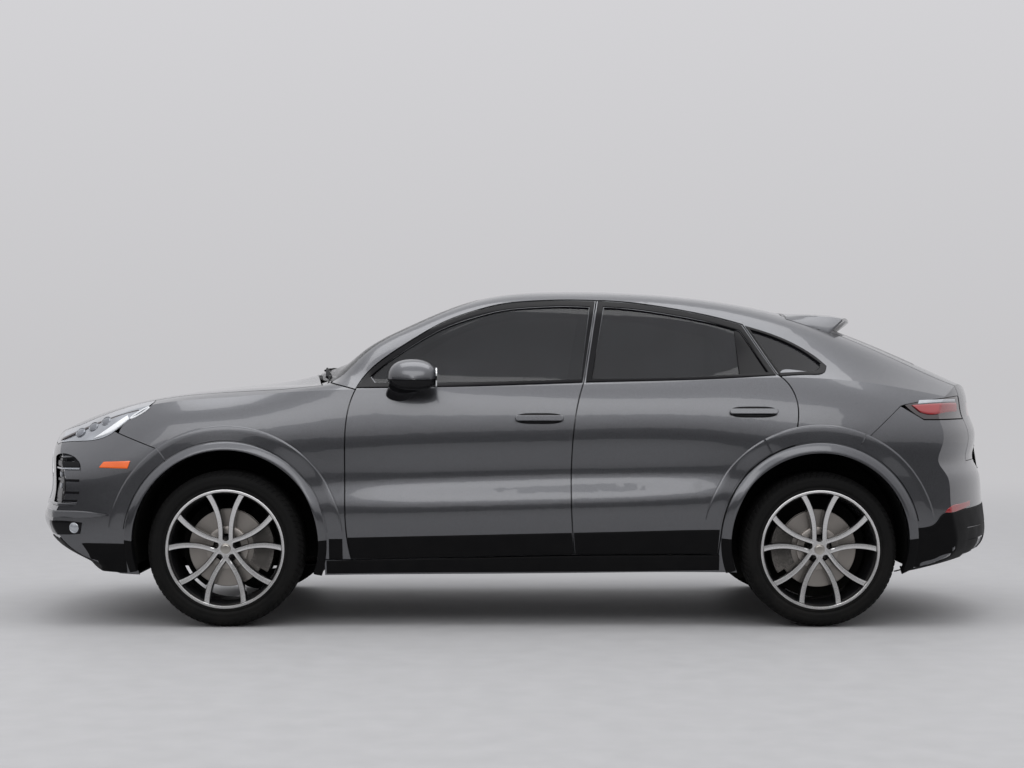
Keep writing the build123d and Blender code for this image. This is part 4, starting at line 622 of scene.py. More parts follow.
def eased(knots, values, at):
    """A cubic between knots whose slope at each is the harmonic mean of its neighbours' slopes, straight past
    both ends, so it never overshoots."""
    knots, values = np.asarray(knots, float), np.asarray(values, float)
    at = np.asarray(at, float)
    rise = np.diff(values) / np.diff(knots)
    slope = np.concatenate([rise[:1], np.zeros(len(knots) - 2), rise[-1:]])
    same = rise[:-1] * rise[1:] > 0
    slope[1:-1][same] = (2 * rise[:-1] * rise[1:] / np.where(same, rise[:-1] + rise[1:], 1))[same]
    slope[0], slope[-1] = rise[0], rise[-1]
    k = np.clip(np.searchsorted(knots, at, side="right") - 1, 0, len(knots) - 2)
    run = knots[k + 1] - knots[k]
    t = np.clip((at - knots[k]) / run, 0, 1)
    inside = ((2 * t**3 - 3 * t**2 + 1) * values[k] + (t**3 - 2 * t**2 + t) * run * slope[k]
              + (3 * t**2 - 2 * t**3) * values[k + 1] + (t**3 - t**2) * run * slope[k + 1])
    return inside + np.minimum(at - knots[0], 0) * rise[0] + np.maximum(at - knots[-1], 0) * rise[-1]


def skin_tables():
    """Half width against (x, height), and height against (x, half width). Each station's section is two
    natural cubics through its feature points, and natural cubics along x join the stations."""
    sections = []
    for x in STATIONS:
        ring = [(eased(along, width, x), eased(along, height, x))
                for along, width, height in (zip(*feature) for feature in FEATURES)]
        ring.append((0.0, eased(*zip(*ROOF_CENTRE), x)))
        ring = np.array(ring, float)
        over = np.concatenate([ring[6:], ring[-2:-6:-1] * (-1, 1)])
        curves = []
        for key, share in ((ring[:7], 1.0), (over, None)):
            run = np.concatenate([[0], np.cumsum(np.hypot(*np.diff(key, axis=0).T))])
            top = run[-1] if share else run[4]
            curves.append(smooth_line(run, key, np.linspace(0, top, 150)))
        sections.append(np.concatenate([curves[0], curves[1][1:]]))
    sections = np.array(sections)
    xs = np.linspace(-2.5, 2.5, 501)
    dense = smooth_line(STATIONS, sections.reshape(len(STATIONS), -1), xs).reshape(len(xs), -1, 2)
    heights = np.linspace(0.2, 1.68, 371)
    widths = np.linspace(0.0, 0.9, 226)
    by_height = np.array([np.interp(heights, ring[:, 1], ring[:, 0]) for ring in dense])
    by_width = np.array([np.interp(widths, ring[::-1, 0], ring[::-1, 1]) for ring in dense])
    return xs, heights, widths, by_height, by_width


SKIN_X, SKIN_Z, SKIN_Y, WIDTH_AT, HEIGHT_AT = skin_tables()


def looked_up(rows, columns, table, r, c):
    """A table's value between its rows and columns, straight in both."""
    u = np.clip((np.asarray(r) - rows[0]) / (rows[1] - rows[0]), 0, len(rows) - 1.001)
    v = np.clip((np.asarray(c) - columns[0]) / (columns[1] - columns[0]), 0, len(columns) - 1.001)
    i, j = u.astype(int), v.astype(int)
    u, v = u - i, v - j
    return ((table[i, j] * (1 - u) + table[i + 1, j] * u) * (1 - v)
            + (table[i, j + 1] * (1 - u) + table[i + 1, j + 1] * u) * v)


def half_width(x, z):
    """The skin's half width at (x, z)."""
    return looked_up(SKIN_X, SKIN_Z, WIDTH_AT, x, z)


def top_height(x, y):
    """The skin's height at (x, half width)."""
    return looked_up(SKIN_X, SKIN_Y, HEIGHT_AT, x, np.abs(y))


# ---- placing things on the body -------------------------------------------------------------------------------
# The nose's and tail's profiles as (height, x), and the radius of their bow in plan.
NOSE = ((.300, -2.253), (.375, -2.380), (.445, -2.440), (.515, -2.4655), (.575, -2.448), (.650, -2.425),
        (.750, -2.424), (.860, -2.416), (.940, -2.375), (1.010, -2.290))
TAIL = ((.225, 2.090), (.278, 2.270), (.322, 2.390), (.374, 2.450), (.440, 2.4655), (.560, 2.455), (.674, 2.448),
        (.736, 2.436), (.803, 2.408), (.883, 2.418), (.953, 2.416), (1.033, 2.388), (1.114, 2.376),
        (1.190, 2.350), (1.270, 2.290))
NOSE_BOW, TAIL_BOW = 2.050, 1.500
HALF_LENGTH = 2.4655


def bow_of(end, z):
    """The upright axis of an end's bow and its radius at each height: profile x turned about the axis."""
    profile, bow = (NOSE, NOSE_BOW) if end < 0 else (TAIL, TAIL_BOW)
    axis = end * (HALF_LENGTH - bow)
    height = np.clip(z, profile[0][0], profile[-1][0])
    x = smooth_line(*zip(*profile), height)[..., 0]
    return axis, np.abs(x - axis)


def whole_width(x, z):
    """Half width at (x, z): the side's, or past a corner the nose's or tail's, whichever is less."""
    width = half_width(x, z)
    for end in (-1, 1):
        axis, radius = bow_of(end, z)
        run = np.maximum(end * (x - axis), 0)
        width = np.minimum(width, np.sqrt(np.maximum(radius**2 - run**2, 1e-6)))
    return width


def slopes(x, z, step=0.004):
    """Unit normals of the left-right skin at (x, z), with y outwards, from its slope along x and z."""
    along = (whole_width(x + step, z) - whole_width(x - step, z)) / (2 * step)
    up = (whole_width(x, z + step) - whole_width(x, z - step)) / (2 * step)
    normal = np.stack([-along, np.ones_like(along), -up], -1)
    return normal / np.linalg.norm(normal, axis=-1, keepdims=True)


def on_side(a, b, out, side):
    """Points over the side skin at (x, z) = (a, b), moved out along its normal."""
    a, b, out = np.broadcast_arrays(np.asarray(a, float), b, out)
    points = np.stack([a, whole_width(a, b), b], -1) + slopes(a, b) * out[..., None]
    return points * (1, side, 1)


def on_end(a, b, out, end):
    """Points over the nose (-1) or tail (1) at (y, z) = (a, b), moved out along x."""
    a, b, out = np.broadcast_arrays(np.asarray(a, float), b, out)
    axis, radius = bow_of(end, b)
    return np.stack([axis + end * (np.sqrt(np.maximum(radius**2 - a**2, 1e-6)) + out), a, b], -1)


def line(points, count=40, curved=True):
    """A line of count points, evenly spaced along a natural cubic (or straight runs) through points."""
    points = np.asarray(points, float)
    run = np.concatenate([[0], np.cumsum(np.hypot(*np.diff(points, axis=0).T))])
    at = np.linspace(0, run[-1], count)
    if curved and len(points) > 2:
        return smooth_line(run, points, at)
    return np.stack([np.interp(at, run, points[:, k]) for k in (0, 1)], -1)


def arc(centre, radius, start, end, count=60):
    """Points of a circle from one angle to another, in degrees up from the +X axis."""
    a = np.radians(np.linspace(start, end, count))
    return np.stack([centre[0] + radius * np.cos(a), centre[1] + radius * np.sin(a)], -1)


def band(first, second, profile, place, side, back=-0.003, loop=False):
    """A closed strip between two lines over a surface. The profile gives each column's share of the way from
    the first line to the second and how far out it stands; its back lies `back` out from the skin."""
    first, second = np.asarray(first, float), np.asarray(second, float)
    share, out = np.asarray(profile, float).T
    front = first[:, None] + (second - first)[:, None] * share[:, None]
    grid = np.concatenate([front, front[:, ::-1]], 1)
    out = np.concatenate([out, np.minimum(out[::-1] - 0.002, back)])
    return closed(*np.moveaxis(place(grid[..., 0], grid[..., 1], out, side), -1, 0), loop)


def raised(height, edge):
    """A band profile that stands `height` out with rounded edges, and dips under the skin at both sides."""
    share = np.linspace(edge, 1 - edge, 9)
    crown = height * (1 + 0.12 * (1 - (2 * share - 1)**2))
    return [(0, -0.004), (0.004, height * 0.35), (edge * 0.35, height * 0.85)] + list(zip(share, crown)) \
        + [(1 - edge * 0.35, height * 0.85), (0.996, height * 0.35), (1, -0.004)]


def rod(path, radius, sides=10):
    """A round bar along a path of 3-D points: rings of the radius at right angles to it."""
    path = np.asarray(path, float)
    ahead = np.gradient(path, axis=0)
    ahead /= np.linalg.norm(ahead, axis=1, keepdims=True)
    aside = np.cross(ahead, (0.0, 0.05, 1.0))
    aside /= np.linalg.norm(aside, axis=1, keepdims=True)
    over = np.cross(aside, ahead)
    a = turn(sides)
    ring = (aside[:, None] * np.cos(a) + over[:, None] * np.sin(a)) * radius
    return closed(*np.moveaxis(path[:, None] + ring, -1, 0))


def button(x, z, side, profile):
    """A turned piece on the skin at (x, z): (radius, out) pairs carried round the surface's own normal."""
    centre = on_side([x], z, 0.0, side)[0]
    tip = on_side([x], z, 0.01, side)[0]
    axis = (tip - centre) / np.linalg.norm(tip - centre)
    aside = np.cross(axis, (0.0, 0.0, 1.0))
    aside /= np.linalg.norm(aside)
    over = np.cross(aside, axis)
    a = turn(32)[:, None]
    r, out = np.asarray(profile, float).T[:, None, :, None]
    points = centre + axis * out + (aside * np.cos(a) + over * np.sin(a)) * r
    return closed(*np.moveaxis(points, -1, 0), loop=True)


# ---- wheel arches, cladding and trims -------------------------------------------------------------------------
FRONT_WHEEL, REAR_WHEEL = (-1.416, 0.408), (1.478, 0.417)
FLARE = ((0, -.004), (.02, .0035), (.06, .0062), (.14, .0072), (.40, .0058), (.70, .0040), (.95, .0030),
         (1, -.004))
LIP = ((0, -.004), (.03, .0040), (.09, .0062), (.35, .0100), (.65, .0142), (.88, .0172), (.95, .0165),
       (.99, .0120), (1, .000), (1, -.020))
# Rings round a wheel arch: its centre, outer radius and inner radius.
FRONT_LIP, REAR_LIP = (FRONT_WHEEL, .494, .4515), (REAR_WHEEL, .4805, .4295)
FRONT_FLARE, REAR_FLARE, DOOR_FLARE = (FRONT_WHEEL, .575, .497), (REAR_WHEEL, .570, .484), (REAR_WHEEL, .570, .490)
# Pieces made of parts of rings: (name, (ring, first angle, last angle) each, section, finish, body).
RING_PIECES = (
    ("arch_lips", ((FRONT_LIP, 2, 178), (REAR_LIP, 2, 178)), LIP, BODY_PAINT, "body"),
    ("arch_flares", ((FRONT_FLARE, 6, 125.4), (FRONT_FLARE, 126.0, 172), (REAR_FLARE, 67.6, 118.3),
                     (REAR_FLARE, 12, 67.0)), FLARE, BODY_PAINT, "body"),
    ("arch_flare_door", ((DOOR_FLARE, 119.3, 169),), FLARE, BODY_PAINT, "rear_door_"),
    ("arch_feet", ((FRONT_LIP, -19, 1.8), (FRONT_LIP, 178.2, 197), (REAR_LIP, -20, 1.8), (REAR_LIP, 178.2, 199)),
     LIP, TRIM_BLACK, "body"))
# Plain strips on the side: (name, upper line, lower line, height and edge, finish, body).
STRIPS = (
    ("front_cladding", ((-.823, .436), (-.450, .444), (-.079, .452), (.100, .456), (.270, .4595)),
     ((-.8045, .3305), (-.079, .3455), (.281, .3525)), (.0045, .06), TRIM_BLACK, "front_door_"),
    ("rear_cladding", ((.280, .460), (.602, .467), (.893, .474), (.990, .475)),
     ((.2885, .3525), (.602, .3545), (.981, .3555)), (.0045, .06), TRIM_BLACK, "rear_door_"),
    ("head_lamp_brow", ((-2.285, .905), (-2.150, .962), (-2.000, 1.019), (-1.860, 1.058)),
     ((-2.270, .900), (-2.145, .954), (-1.995, 1.011), (-1.856, 1.050)), (.002, .2), SMOKE_LENS, "body"),
    ("side_marker", ((-2.012, .804), (-1.880, .809)), ((-2.036, .775), (-1.893, .771)), (.003, .1), AMBER, "body"),
    ("tail_tube", ((1.932, 1.080), (1.990, 1.0835), (2.120, 1.090), (2.196, 1.090)),
     ((1.974, 1.046), (1.994, 1.040), (2.120, 1.043), (2.196, 1.046)), (.0045, .2), RED_GLOW, "body"),
    ("tail_clear", ((1.975, 1.104), (2.100, 1.108), (2.190, 1.108)),
     ((1.965, 1.086), (2.100, 1.094), (2.190, 1.095)), (.002, .2), LAMP_GREY, "body"),
    ("rear_reflector", ((2.100, .575), (2.122, .589), (2.180, .596), (2.255, .604)),
     ((2.086, .558), (2.115, .557), (2.171, .563), (2.255, .579)), (.003, .1), RED_GLOW, "body"),
    ("fog_pocket", ((-2.300, .512), (-2.200, .516), (-2.118, .508)),
     ((-2.300, .446), (-2.200, .445), (-2.128, .452)), (.0045, .04), GLOSS_BLACK, "body"))
REAR_BUMPER_LINE = ((1.906, .486), (2.005, .490), (2.040, .506), (2.078, .552), (2.110, .560), (2.225, .571))
SILL_TOP = ((-.925, .322), (-.804, .3235), (-.079, .3385), (.285, .3455), (.602, .3475), (.990, .3485))
SILL_FOOT = ((-.925, .253), (-.858, .254), (.408, .264), (.895, .269), (.990, .270))
CHIN_TOP = ((-2.330, .428), (-2.200, .414), (-2.050, .408), (-1.902, .406))


def level(start, end, height, count):
    """Points of a level line at a height."""
    run = np.linspace(start, end, count)
    return np.stack([run, 0 * run + height], -1)


def level_band(start, end, top, low, count, profile, place, side, back=-.003):
    """A band between two level lines of the same reach."""
    return band(level(start, end, top, count), level(start, end, low, count), profile, place, side, back)


def strip(first, second, profile, side, back=-.003):
    """A band on the side between the smooth lines through two rows of points."""
    return band(line(first), line(second), profile, on_side, side, back)


def skirt(points, side):
    """A band on the side from a smooth line down to the body's bottom edge, just above the CAD panel's own."""
    upper = line(points)
    along, _, sill = zip(*FEATURES[0])
    foot = eased(along, sill, upper[:, 0]) + 0.004
    return band(upper, np.stack([upper[:, 0], foot], -1), raised(.0035, .05), on_side, side)


for side, hand in SIDES:
    for name, rings, section, look, body in RING_PIECES:
        bands = [band(arc(centre, outer, *reach), arc(centre, inner, *reach), section, on_side, side, -.006)
                 for (centre, outer, inner), *reach in rings]
        body_piece(f"{name}_{hand}", joined(bands), look, body + hand if body.endswith("_") else body)
    for name, upper, lower, (height, edge), look, body in STRIPS:
        body_piece(f"{name}_{hand}", strip(upper, lower, raised(height, edge), side), look,
                   body + hand if body.endswith("_") else body)
    sill = band(line(SILL_TOP), line(SILL_FOOT) + (0, .004), raised(.0035, .08), on_side, side)
    foot = level_band(-.912, -.846, .430, .330, 12, raised(.0035, .05), on_side, side)
    body_piece(f"sill_cladding_{hand}", joined([sill, foot, skirt(CHIN_TOP, side), skirt(REAR_BUMPER_LINE, side)]),
               TRIM_BLACK)


# ---- glass surrounds, handles and mirrors ---------------------------------------------------------------------
SEAL = ((0, -.004), (.03, .0025), (.08, .0042), (.50, .0046), (.86, .0040), (.95, .0010), (1, -.0105))
INSERT = ((0, -.0105), (.03, -.0048), (.5, -.0040), (.97, -.0048), (1, -.0105))
# Loops round the windows, as rows of points from corner to corner.
FRONT_RING = (
    ((-.7835, 1.1640), (-.374, 1.1695), (-.079, 1.1780), (.326, 1.1915)), ((.326, 1.1915), (.3955, 1.5975)),
    ((.3955, 1.5975), (.263, 1.6005), (.071, 1.5950), (-.071, 1.5800), (-.215, 1.5430), (-.358, 1.4900),
     (-.501, 1.4090), (-.645, 1.3130), (-.741, 1.2270), (-.7835, 1.1660)), ((-.7835, 1.1660), (-.7835, 1.1640)))
FRONT_PANE = (
    ((-.690, 1.191), (-.300, 1.193), (.318, 1.208)), ((.318, 1.208), (.365, 1.565)),
    ((.365, 1.565), (.263, 1.569), (.071, 1.563), (-.071, 1.548), (-.215, 1.511), (-.358, 1.459), (-.501, 1.379),
     (-.630, 1.291), (-.714, 1.222)), ((-.714, 1.222), (-.690, 1.191)))
REAR_RING = (
    ((.3405, 1.1930), (.715, 1.2010), (.901, 1.2060), (1.275, 1.2270)), ((1.275, 1.2270), (1.1225, 1.4770)),
    ((1.1225, 1.4770), (1.085, 1.4885), (.933, 1.5265), (.778, 1.5565), (.576, 1.5865), (.4085, 1.5980)),
    ((.4085, 1.5980), (.3405, 1.1930)))
REAR_PANE = (
    ((.373, 1.210), (.760, 1.215), (1.234, 1.241)), ((1.234, 1.241), (1.112, 1.445)),
    ((1.112, 1.445), (.933, 1.495), (.778, 1.525), (.576, 1.555), (.438, 1.565)), ((.438, 1.565), (.373, 1.210)))
QUARTER_RING = (
    ((1.1400, 1.4730), (1.188, 1.4590), (1.340, 1.4030), (1.442, 1.3460), (1.502, 1.3000), (1.532, 1.2700)),
    ((1.532, 1.2700), (1.524, 1.2480), (1.442, 1.2290), (1.2950, 1.2210)), ((1.2950, 1.2210), (1.1400, 1.4730)))
QUARTER_PANE = (
    ((1.166, 1.451), (1.188, 1.445), (1.330, 1.393), (1.431, 1.337), (1.499, 1.284)),
    ((1.499, 1.284), (1.489, 1.263), (1.440, 1.247), (1.297, 1.239)), ((1.297, 1.239), (1.166, 1.451)))
MIRROR_X, MIRROR_Y, MIRROR_Z = -.508, .930, 1.2105
MIRROR_WIDE, MIRROR_LONG, MIRROR_REAR = .156, .128, .118
WALL_SHARE = .06                         # the housing's wall, as a share of the way to its middle line


def surround(outer, inner, side):
    """A closed ring between two loops, each given as the same number of stretches that meet end to end."""
    loops = [np.concatenate([line(points, 36)[:-1] for points in stretches]) for stretches in (outer, inner)]
    return band(*loops, SEAL, on_side, side, back=-.012, loop=True)


def handle_shade_lens(x, z, side):
    """Painted shade for the hollow round a door pull: a thin dark lens on the door that stands in for its shadow.
    """
    reach = np.linspace(-1, 1, 41)
    half = .0245 * np.sqrt(np.maximum(1 - reach**4, 0)) + .0004
    along = x + .117 * reach
    return band(np.stack([along, z + .003 + half], -1), np.stack([along, z - .001 - half], -1),
                raised(.0032, .03), on_side, side)


def mirror_shell(side, low, high, tallest):
    """Half a mirror housing: rounded sections along y, from the section's angle low to high, with a flat rear."""
    v = np.linspace(0, 1, 30)[:, None]
    a = np.radians(np.linspace(low, high, 40))[None]
    y = MIRROR_Y + MIRROR_WIDE * v
    swell = np.sqrt(np.maximum(1 - np.abs(2 * v - .94)**2.6 * .92, .004))
    length, tall = MIRROR_LONG * swell * (1 - .10 * v), tallest * swell * (1 - .06 * v)
    x = MIRROR_X - length * bent(np.cos(a), .85) + .018 * v
    x = np.where(np.cos(a) < 0, np.minimum(x, MIRROR_X + MIRROR_REAR + .010 * v), x)
    z = MIRROR_Z + tall * bent(np.sin(a), .9) + (.006 - .012 * v)
    outer = np.stack([x, side * (y + 0 * a), z], -1)
    middle = np.stack([-.500 + 0 * x, side * (y + 0 * a), MIRROR_Z + 0 * x], -1)
    inner = outer + (middle - outer) * WALL_SHARE
    points = np.concatenate([outer, inner[:, ::-1]], 1)
    return points.reshape(-1, 3), tube_faces(*points.shape[:2])


def mirror_arm(side):
    """The mirror's foot: rounded sections from the door out and up into the housing."""
    v = np.linspace(0, 1, 16)[:, None]
    a = turn(28).T
    bend = v**2 * (3 - 2 * v)
    x = -.583 + .050 * bend + (.058 + .026 * bend) * np.cos(a)
    z = 1.1280 + .046 * bend + (.040 - .006 * bend) * np.sin(a)
    return closed(x, side * (.868 + .142 * v), z)


def mirror_pane(side):
    """The mirror's glass: a slightly domed rounded plate on the housing's flat rear."""
    v = np.linspace(0, 1, 10)[:, None]
    a = turn(40).T
    y = 1.008 + .066 * v * bent(np.cos(a), .6)
    z = 1.214 + .052 * v * bent(np.sin(a), .6)
    x = -.3895 + .0008 * (1 - v**2) + .064 * (y - MIRROR_Y) + 0 * a
    front = np.stack([x, side * y, z], -1)
    back = front - (.006, 0, 0)
    points = np.concatenate([front, back[::-1]])
    return points.reshape(-1, 3), grid_faces(20, 40, False, True)


for side, hand in SIDES:
    front_door, rear_door = f"front_door_{hand}", f"rear_door_{hand}"
    for name, ring, pane, body in (("front", FRONT_RING, FRONT_PANE, front_door),
                                   ("rear", REAR_RING, REAR_PANE, rear_door),
                                   ("quarter", QUARTER_RING, QUARTER_PANE, "body")):
        body_piece(f"{name}_window_frame_{hand}", surround(ring, pane, side), GLOSS_BLACK, body, angle=30)
    post = strip([(1.094, 1.226), (1.083, 1.462)], [(1.234, 1.236), (1.110, 1.450)], INSERT, side, -.0125)
    body_piece(f"rear_window_post_{hand}", post, GLOSS_BLACK, rear_door, angle=30)
    # Each door pull gets a dark lens round it, painted shade for the hollow behind the pull.
    for door, x, z in ((front_door, .113, 1.014), (rear_door, 1.156, 1.046)):
        body_piece(f"{door}_handle_shade_lens", handle_shade_lens(x, z, side), GLOSS_BLACK, door)
    shell = body_piece(f"mirror_cap_{hand}", mirror_shell(side, 0, 180, .096), BODY_PAINT, front_door)
    body_piece(f"mirror_base_{hand}", joined([mirror_shell(side, 180, 360, .060), mirror_arm(side)]), GLOSS_BLACK,
               front_door)
    body_piece(f"mirror_pane_{hand}", mirror_pane(side), MIRROR_GLASS, front_door)
    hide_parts(f"mirror_{hand}")


# ---- lamps ----------------------------------------------------------------------------------------------------
EYE = ((0, -.004), (.026, -.004), (.0275, .0020), (.0255, .0032), (.0232, .0016), (.019, .0036), (.011, .0058),
       (0, .0066))
SPOT = ((0, -.012), (.0125, -.012), (.0135, -.004), (.011, -.0025), (0, -.0015))
FOG = ((0, .001), (.024, .001), (.026, .007), (.0225, .0095), (.0205, .0075), (.012, .0105), (0, .0115))
for side, hand in SIDES:
    blade = strip([(-2.066, .923), (-2.006, .967), (-1.949, 1.007), (-1.914, 1.029)],
                  [(-2.078, .915), (-1.993, .945), (-1.928, .990), (-1.902, 1.010)], raised(.005, .2), side)
    a = np.linspace(0, 2 * np.pi, 49)
    loop = on_side(-1.850 + .043 * np.cos(a) + .010 * np.sin(a), 1.040 + .024 * np.cos(a) + .013 * np.sin(a), .003,
                   side)
    body_piece(f"day_lamps_{hand}", joined([blade, rod(loop, .0045)]), LAMP_WHITE)
    eyes = [button(x, z, side, EYE) for x, z in ((-2.160, .944), (-2.092, .972), (-2.026, .999))]
    body_piece(f"head_beams_{hand}", joined(eyes), LAMP_DARK)
    vane = level_band(-2.296, -2.140, .773, .766, 30, raised(-.003, .2), on_side, side, -.012)
    spots = [button(-2.252, z, side, SPOT) for z in (.738, .682)]
    body_piece(f"intake_lamps_{hand}", joined([vane] + spots), LAMP_GREY)
    body_piece(f"fog_lamp_{hand}", button(-2.158, .481, side, FOG), LAMP_GREY)


# ---- nose and intakes -----------------------------------------------------------------------------------------
def across(points, count=60):
    """A line over a whole end from the (y, z) points of its left half, mirrored and joined at the middle."""
    half = line(points, count)
    return np.concatenate([half, (half * (-1, 1))[::-1][1:]])


def slat(z, reach, height):
    """A level bar over the nose, sunk 6 mm under its skin: rounded, height tall, reach to each side."""
    top = level(-reach, reach, z + height / 2, 61)
    profile = [(0, -.024), (.04, -.010), (.25, -.006), (.75, -.006), (.96, -.010), (1, -.024)]
    return band(top, top - (0, height), profile, on_end, -1, back=-.025)


GRILLE_HALF = ((.566, .330), (.600, .388), (.720, .422), (.828, .392), (.846, .355))
GRILLE_EDGE = ((0, .850), (-.200, .850), (-.360, .846), (-.398, .828), (-.414, .776), (-.428, .720),
               (-.411, .655), (-.394, .602), (-.332, .568), (-.160, .563), (0, .561))
bars = [slat(z, np.interp(z, *zip(*GRILLE_HALF)) - .012, .016)
        for z in (.603, .648, .693, .738, .783, .826)]
for y in np.linspace(-.33, .33, 12):
    column = line([(y, .842), (y, .572)], 12)
    bars.append(band(column - (.004, 0), column + (.004, 0), [(0, -.030), (.1, -.013), (.9, -.013), (1, -.030)],
                     on_end, -1, back=-.032))
body_piece("grille_bars", joined(bars), GLOSS_BLACK)
edge = np.array(GRILLE_EDGE)
rim_line = line(np.concatenate([edge, (edge * (-1, 1))[::-1][1:-1], edge[:1]]), 160, curved=False)
body_piece("grille_rim", rod(on_end(rim_line[..., 0], rim_line[..., 1], .000, -1), .0055), CHROME)
body_piece("lower_intake_bars", joined([slat(z, .545, .013) for z in (.368, .398, .428)]), GLOSS_BLACK)
chin_top = across([(-.860, .432), (-.740, .420), (-.655, .412), (-.640, .352), (-.560, .3315), (-.300, .3290),
                   (0, .3285)])
chin_low = np.stack([chin_top[:, 0], 0 * chin_top[:, 0] + .302], -1)
body_piece("chin_strip", band(chin_top, chin_low, raised(.0035, .08), on_end, -1), TRIM_BLACK)

LOUVRES = ((.792, .030, -2.142), (.712, .014, -2.142), (.652, .014, -2.142), (.612, .012, -2.150))
INTAKE = ((0, -.006), (.02, -.0115), (.5, -.0125), (.98, -.0115), (1, -.006))
LOUVRE = ((0, -.0125), (.06, -.0075), (.5, -.0065), (.94, -.0075), (1, -.0125))
BLADE = ((0, -.004), (.05, .012), (.14, .0145), (.30, .010), (.70, .005), (.96, .003), (1, -.004))
for side, hand in SIDES:
    x = np.linspace(-2.298, -2.133, 36)
    top = np.interp(x, (-2.300, -2.178, -2.140, -2.130), (.820, .828, .799, .722))
    low = np.interp(x, (-2.300, -2.163, -2.136, -2.130), (.585, .590, .631, .712))
    intake = [band(np.stack([x, top], -1), np.stack([x, low], -1), INTAKE, on_side, side, -.0135)]
    for z, tall, rear in LOUVRES:
        intake.append(level_band(-2.295, rear, z + tall / 2, z - tall / 2, 30, LOUVRE, on_side, side, -.013))
    body_piece(f"side_intake_{hand}", joined(intake), GLOSS_BLACK)
    lip = strip([(-2.390, .597), (-2.300, .600), (-2.200, .602), (-2.142, .606)],
                [(-2.390, .585), (-2.300, .586), (-2.200, .588), (-2.150, .592)], raised(.006, .2), side)
    blade = strip([(-2.320, .564), (-2.200, .566), (-2.080, .562), (-1.992, .548)],
                  [(-2.320, .528), (-2.200, .527), (-2.080, .532), (-1.992, .542)], BLADE, side)
    body_piece(f"bumper_blades_{hand}", joined([lip, blade]), BODY_PAINT)


# ---- wheel houses ---------------------------------------------------------------------------------------------
DISC_SHIELD = ((.070, 0), (.110, .002), (.170, .003), (.246, .006), (.250, .004), (.245, .001), (.170, -.001),
               (.110, -.001), (.070, -.003))
SHIELD_DEPTH = .742                      # half width of the plates behind the discs
ARM_CLEARANCE = .112                     # from the hub's height to the cut-outs round the suspension arms
FRONT_HUB, REAR_HUB = (-1.4165, .381), (1.4785, .377)
HOUSE_FLOOR = .205


def wheel_house(centre, radius, outer_y, side, start, end):
    """A dark half tube over a wheel: an arc carried out from the half width 0.5 m to outer_y, 3 mm thick."""
    a = np.radians(np.linspace(start, end, 72))[:, None]
    y = np.concatenate([np.linspace(.500, outer_y, 8), np.linspace(outer_y, .500, 8)])[None]
    r = np.repeat([radius, radius + .003], 8)[None]
    return closed(centre[0] + r * np.cos(a), side * y, centre[1] + r * np.sin(a))


def house_wall(centre, radius, y, side):
    """The upright wall at a wheel house's inner end: a thin disc about the arch's centre, cut flat low down."""
    a = turn(96)
    drop = (centre[1] - HOUSE_FLOOR) / np.maximum(-np.sin(a), 1e-3)
    reach = np.where(np.sin(a) < 0, np.minimum(radius, drop), radius) * (.02, 1, 1, .02)
    y = np.add(y, (0, 0, -.003, -.003))
    return closed(centre[0] + reach * np.cos(a), side * y, centre[1] + reach * np.sin(a), loop=True)


def disc_shield(centre, side, size=1.0, cut=False):
    """A dished dust plate behind a brake disc: rings of (radius, depth) about the hub. With cut, the rings
    shrink within 30 degrees of straight up and down, which leaves the suspension arms free."""
    radius, depth = np.array(DISC_SHIELD).T
    radius = size * radius
    a = turn(56)
    if cut:
        height = np.maximum(np.abs(np.sin(a)), .5)
        radius = radius * np.where(height > .86, ARM_CLEARANCE / (height * radius.max()), 1)
    y = side * (SHIELD_DEPTH + depth)
    return closed(centre[0] + radius * np.cos(a), y, centre[1] + radius * np.sin(a), loop=True)


for side, hand in SIDES:
    tubes = [house_wall(REAR_WHEEL, .431, .598, side), wheel_house(FRONT_WHEEL, .4545, .925, side, -8, 188),
             wheel_house(REAR_WHEEL, .4325, .935, side, -10, 190)]
    body_piece(f"wheel_houses_{hand}", joined(tubes), LINER_BLACK)
    body_piece(f"front_disc_shield_{hand}", disc_shield(FRONT_HUB, side, .940, True), LINER_BLACK,
               f"knuckle_{hand}")
    body_piece(f"rear_disc_shield_{hand}", disc_shield(REAR_HUB, side), LINER_BLACK)


# ---- tail -----------------------------------------------------------------------------------------------------
sill_top = across([(-.820, .568), (-.600, .572), (-.300, .572), (0, .572)])
sill_low = across([(-.820, .476), (-.600, .474), (-.300, .474), (0, .474)])
strips = [band(sill_top, sill_low, raised(.0035, .08), on_end, 1)]
for low, high, first, last in ((.414, .4735, -.860, .860), (.336, .4135, -.860, -.634), (.336, .4135, .634, .860),
                               (.346, .4135, -.456, .456)):
    strips.append(level_band(first, last, high, low, 40, raised(.0030, .05), on_end, 1))
body_piece("tail_valance", joined(strips), TRIM_BLACK)
FRAME = ((0, -.003), (.02, .004), (.06, .0065), (.09, .0030), (.91, .0030), (.94, .0065), (.98, .004), (1, -.003))
BLANK = ((0, .002), (.01, .0045), (.99, .0045), (1, .002))
body_piece("plate_holder", level_band(-.262, .262, .868, .742, 40, FRAME, on_end, 1), TRIM_BLACK, "tailgate")
body_piece("plate_blank", level_band(-.250, .250, .859, .751, 30, BLANK, on_end, 1, .001), PLATE, "tailgate")


# ---- roof spoiler ---------------------------------------------------------------------------------------------
# How far the top falls below the roof's level at x; the trailing edge's x at a half width; and the cheek's top
# and foot half widths with how far forward it runs.
SPOILER_FALL = ((1.345, 0), (1.480, .0005), (1.600, .0075), (1.680, .021), (1.765, .054))
SPOILER_EDGE = ((0, 1.756), (.230, 1.741), (.400, 1.708), (.556, 1.655))
SPOILER_START = 1.3635
CHEEK_TOP, CHEEK_FOOT, CHEEK_RUN = .556, .606, .080
UNDER_REACH, UNDER_FALL = .125, .77
EDGE_THICK = .012
SINK = .008                              # how deep the spoiler's foot sits in the skin


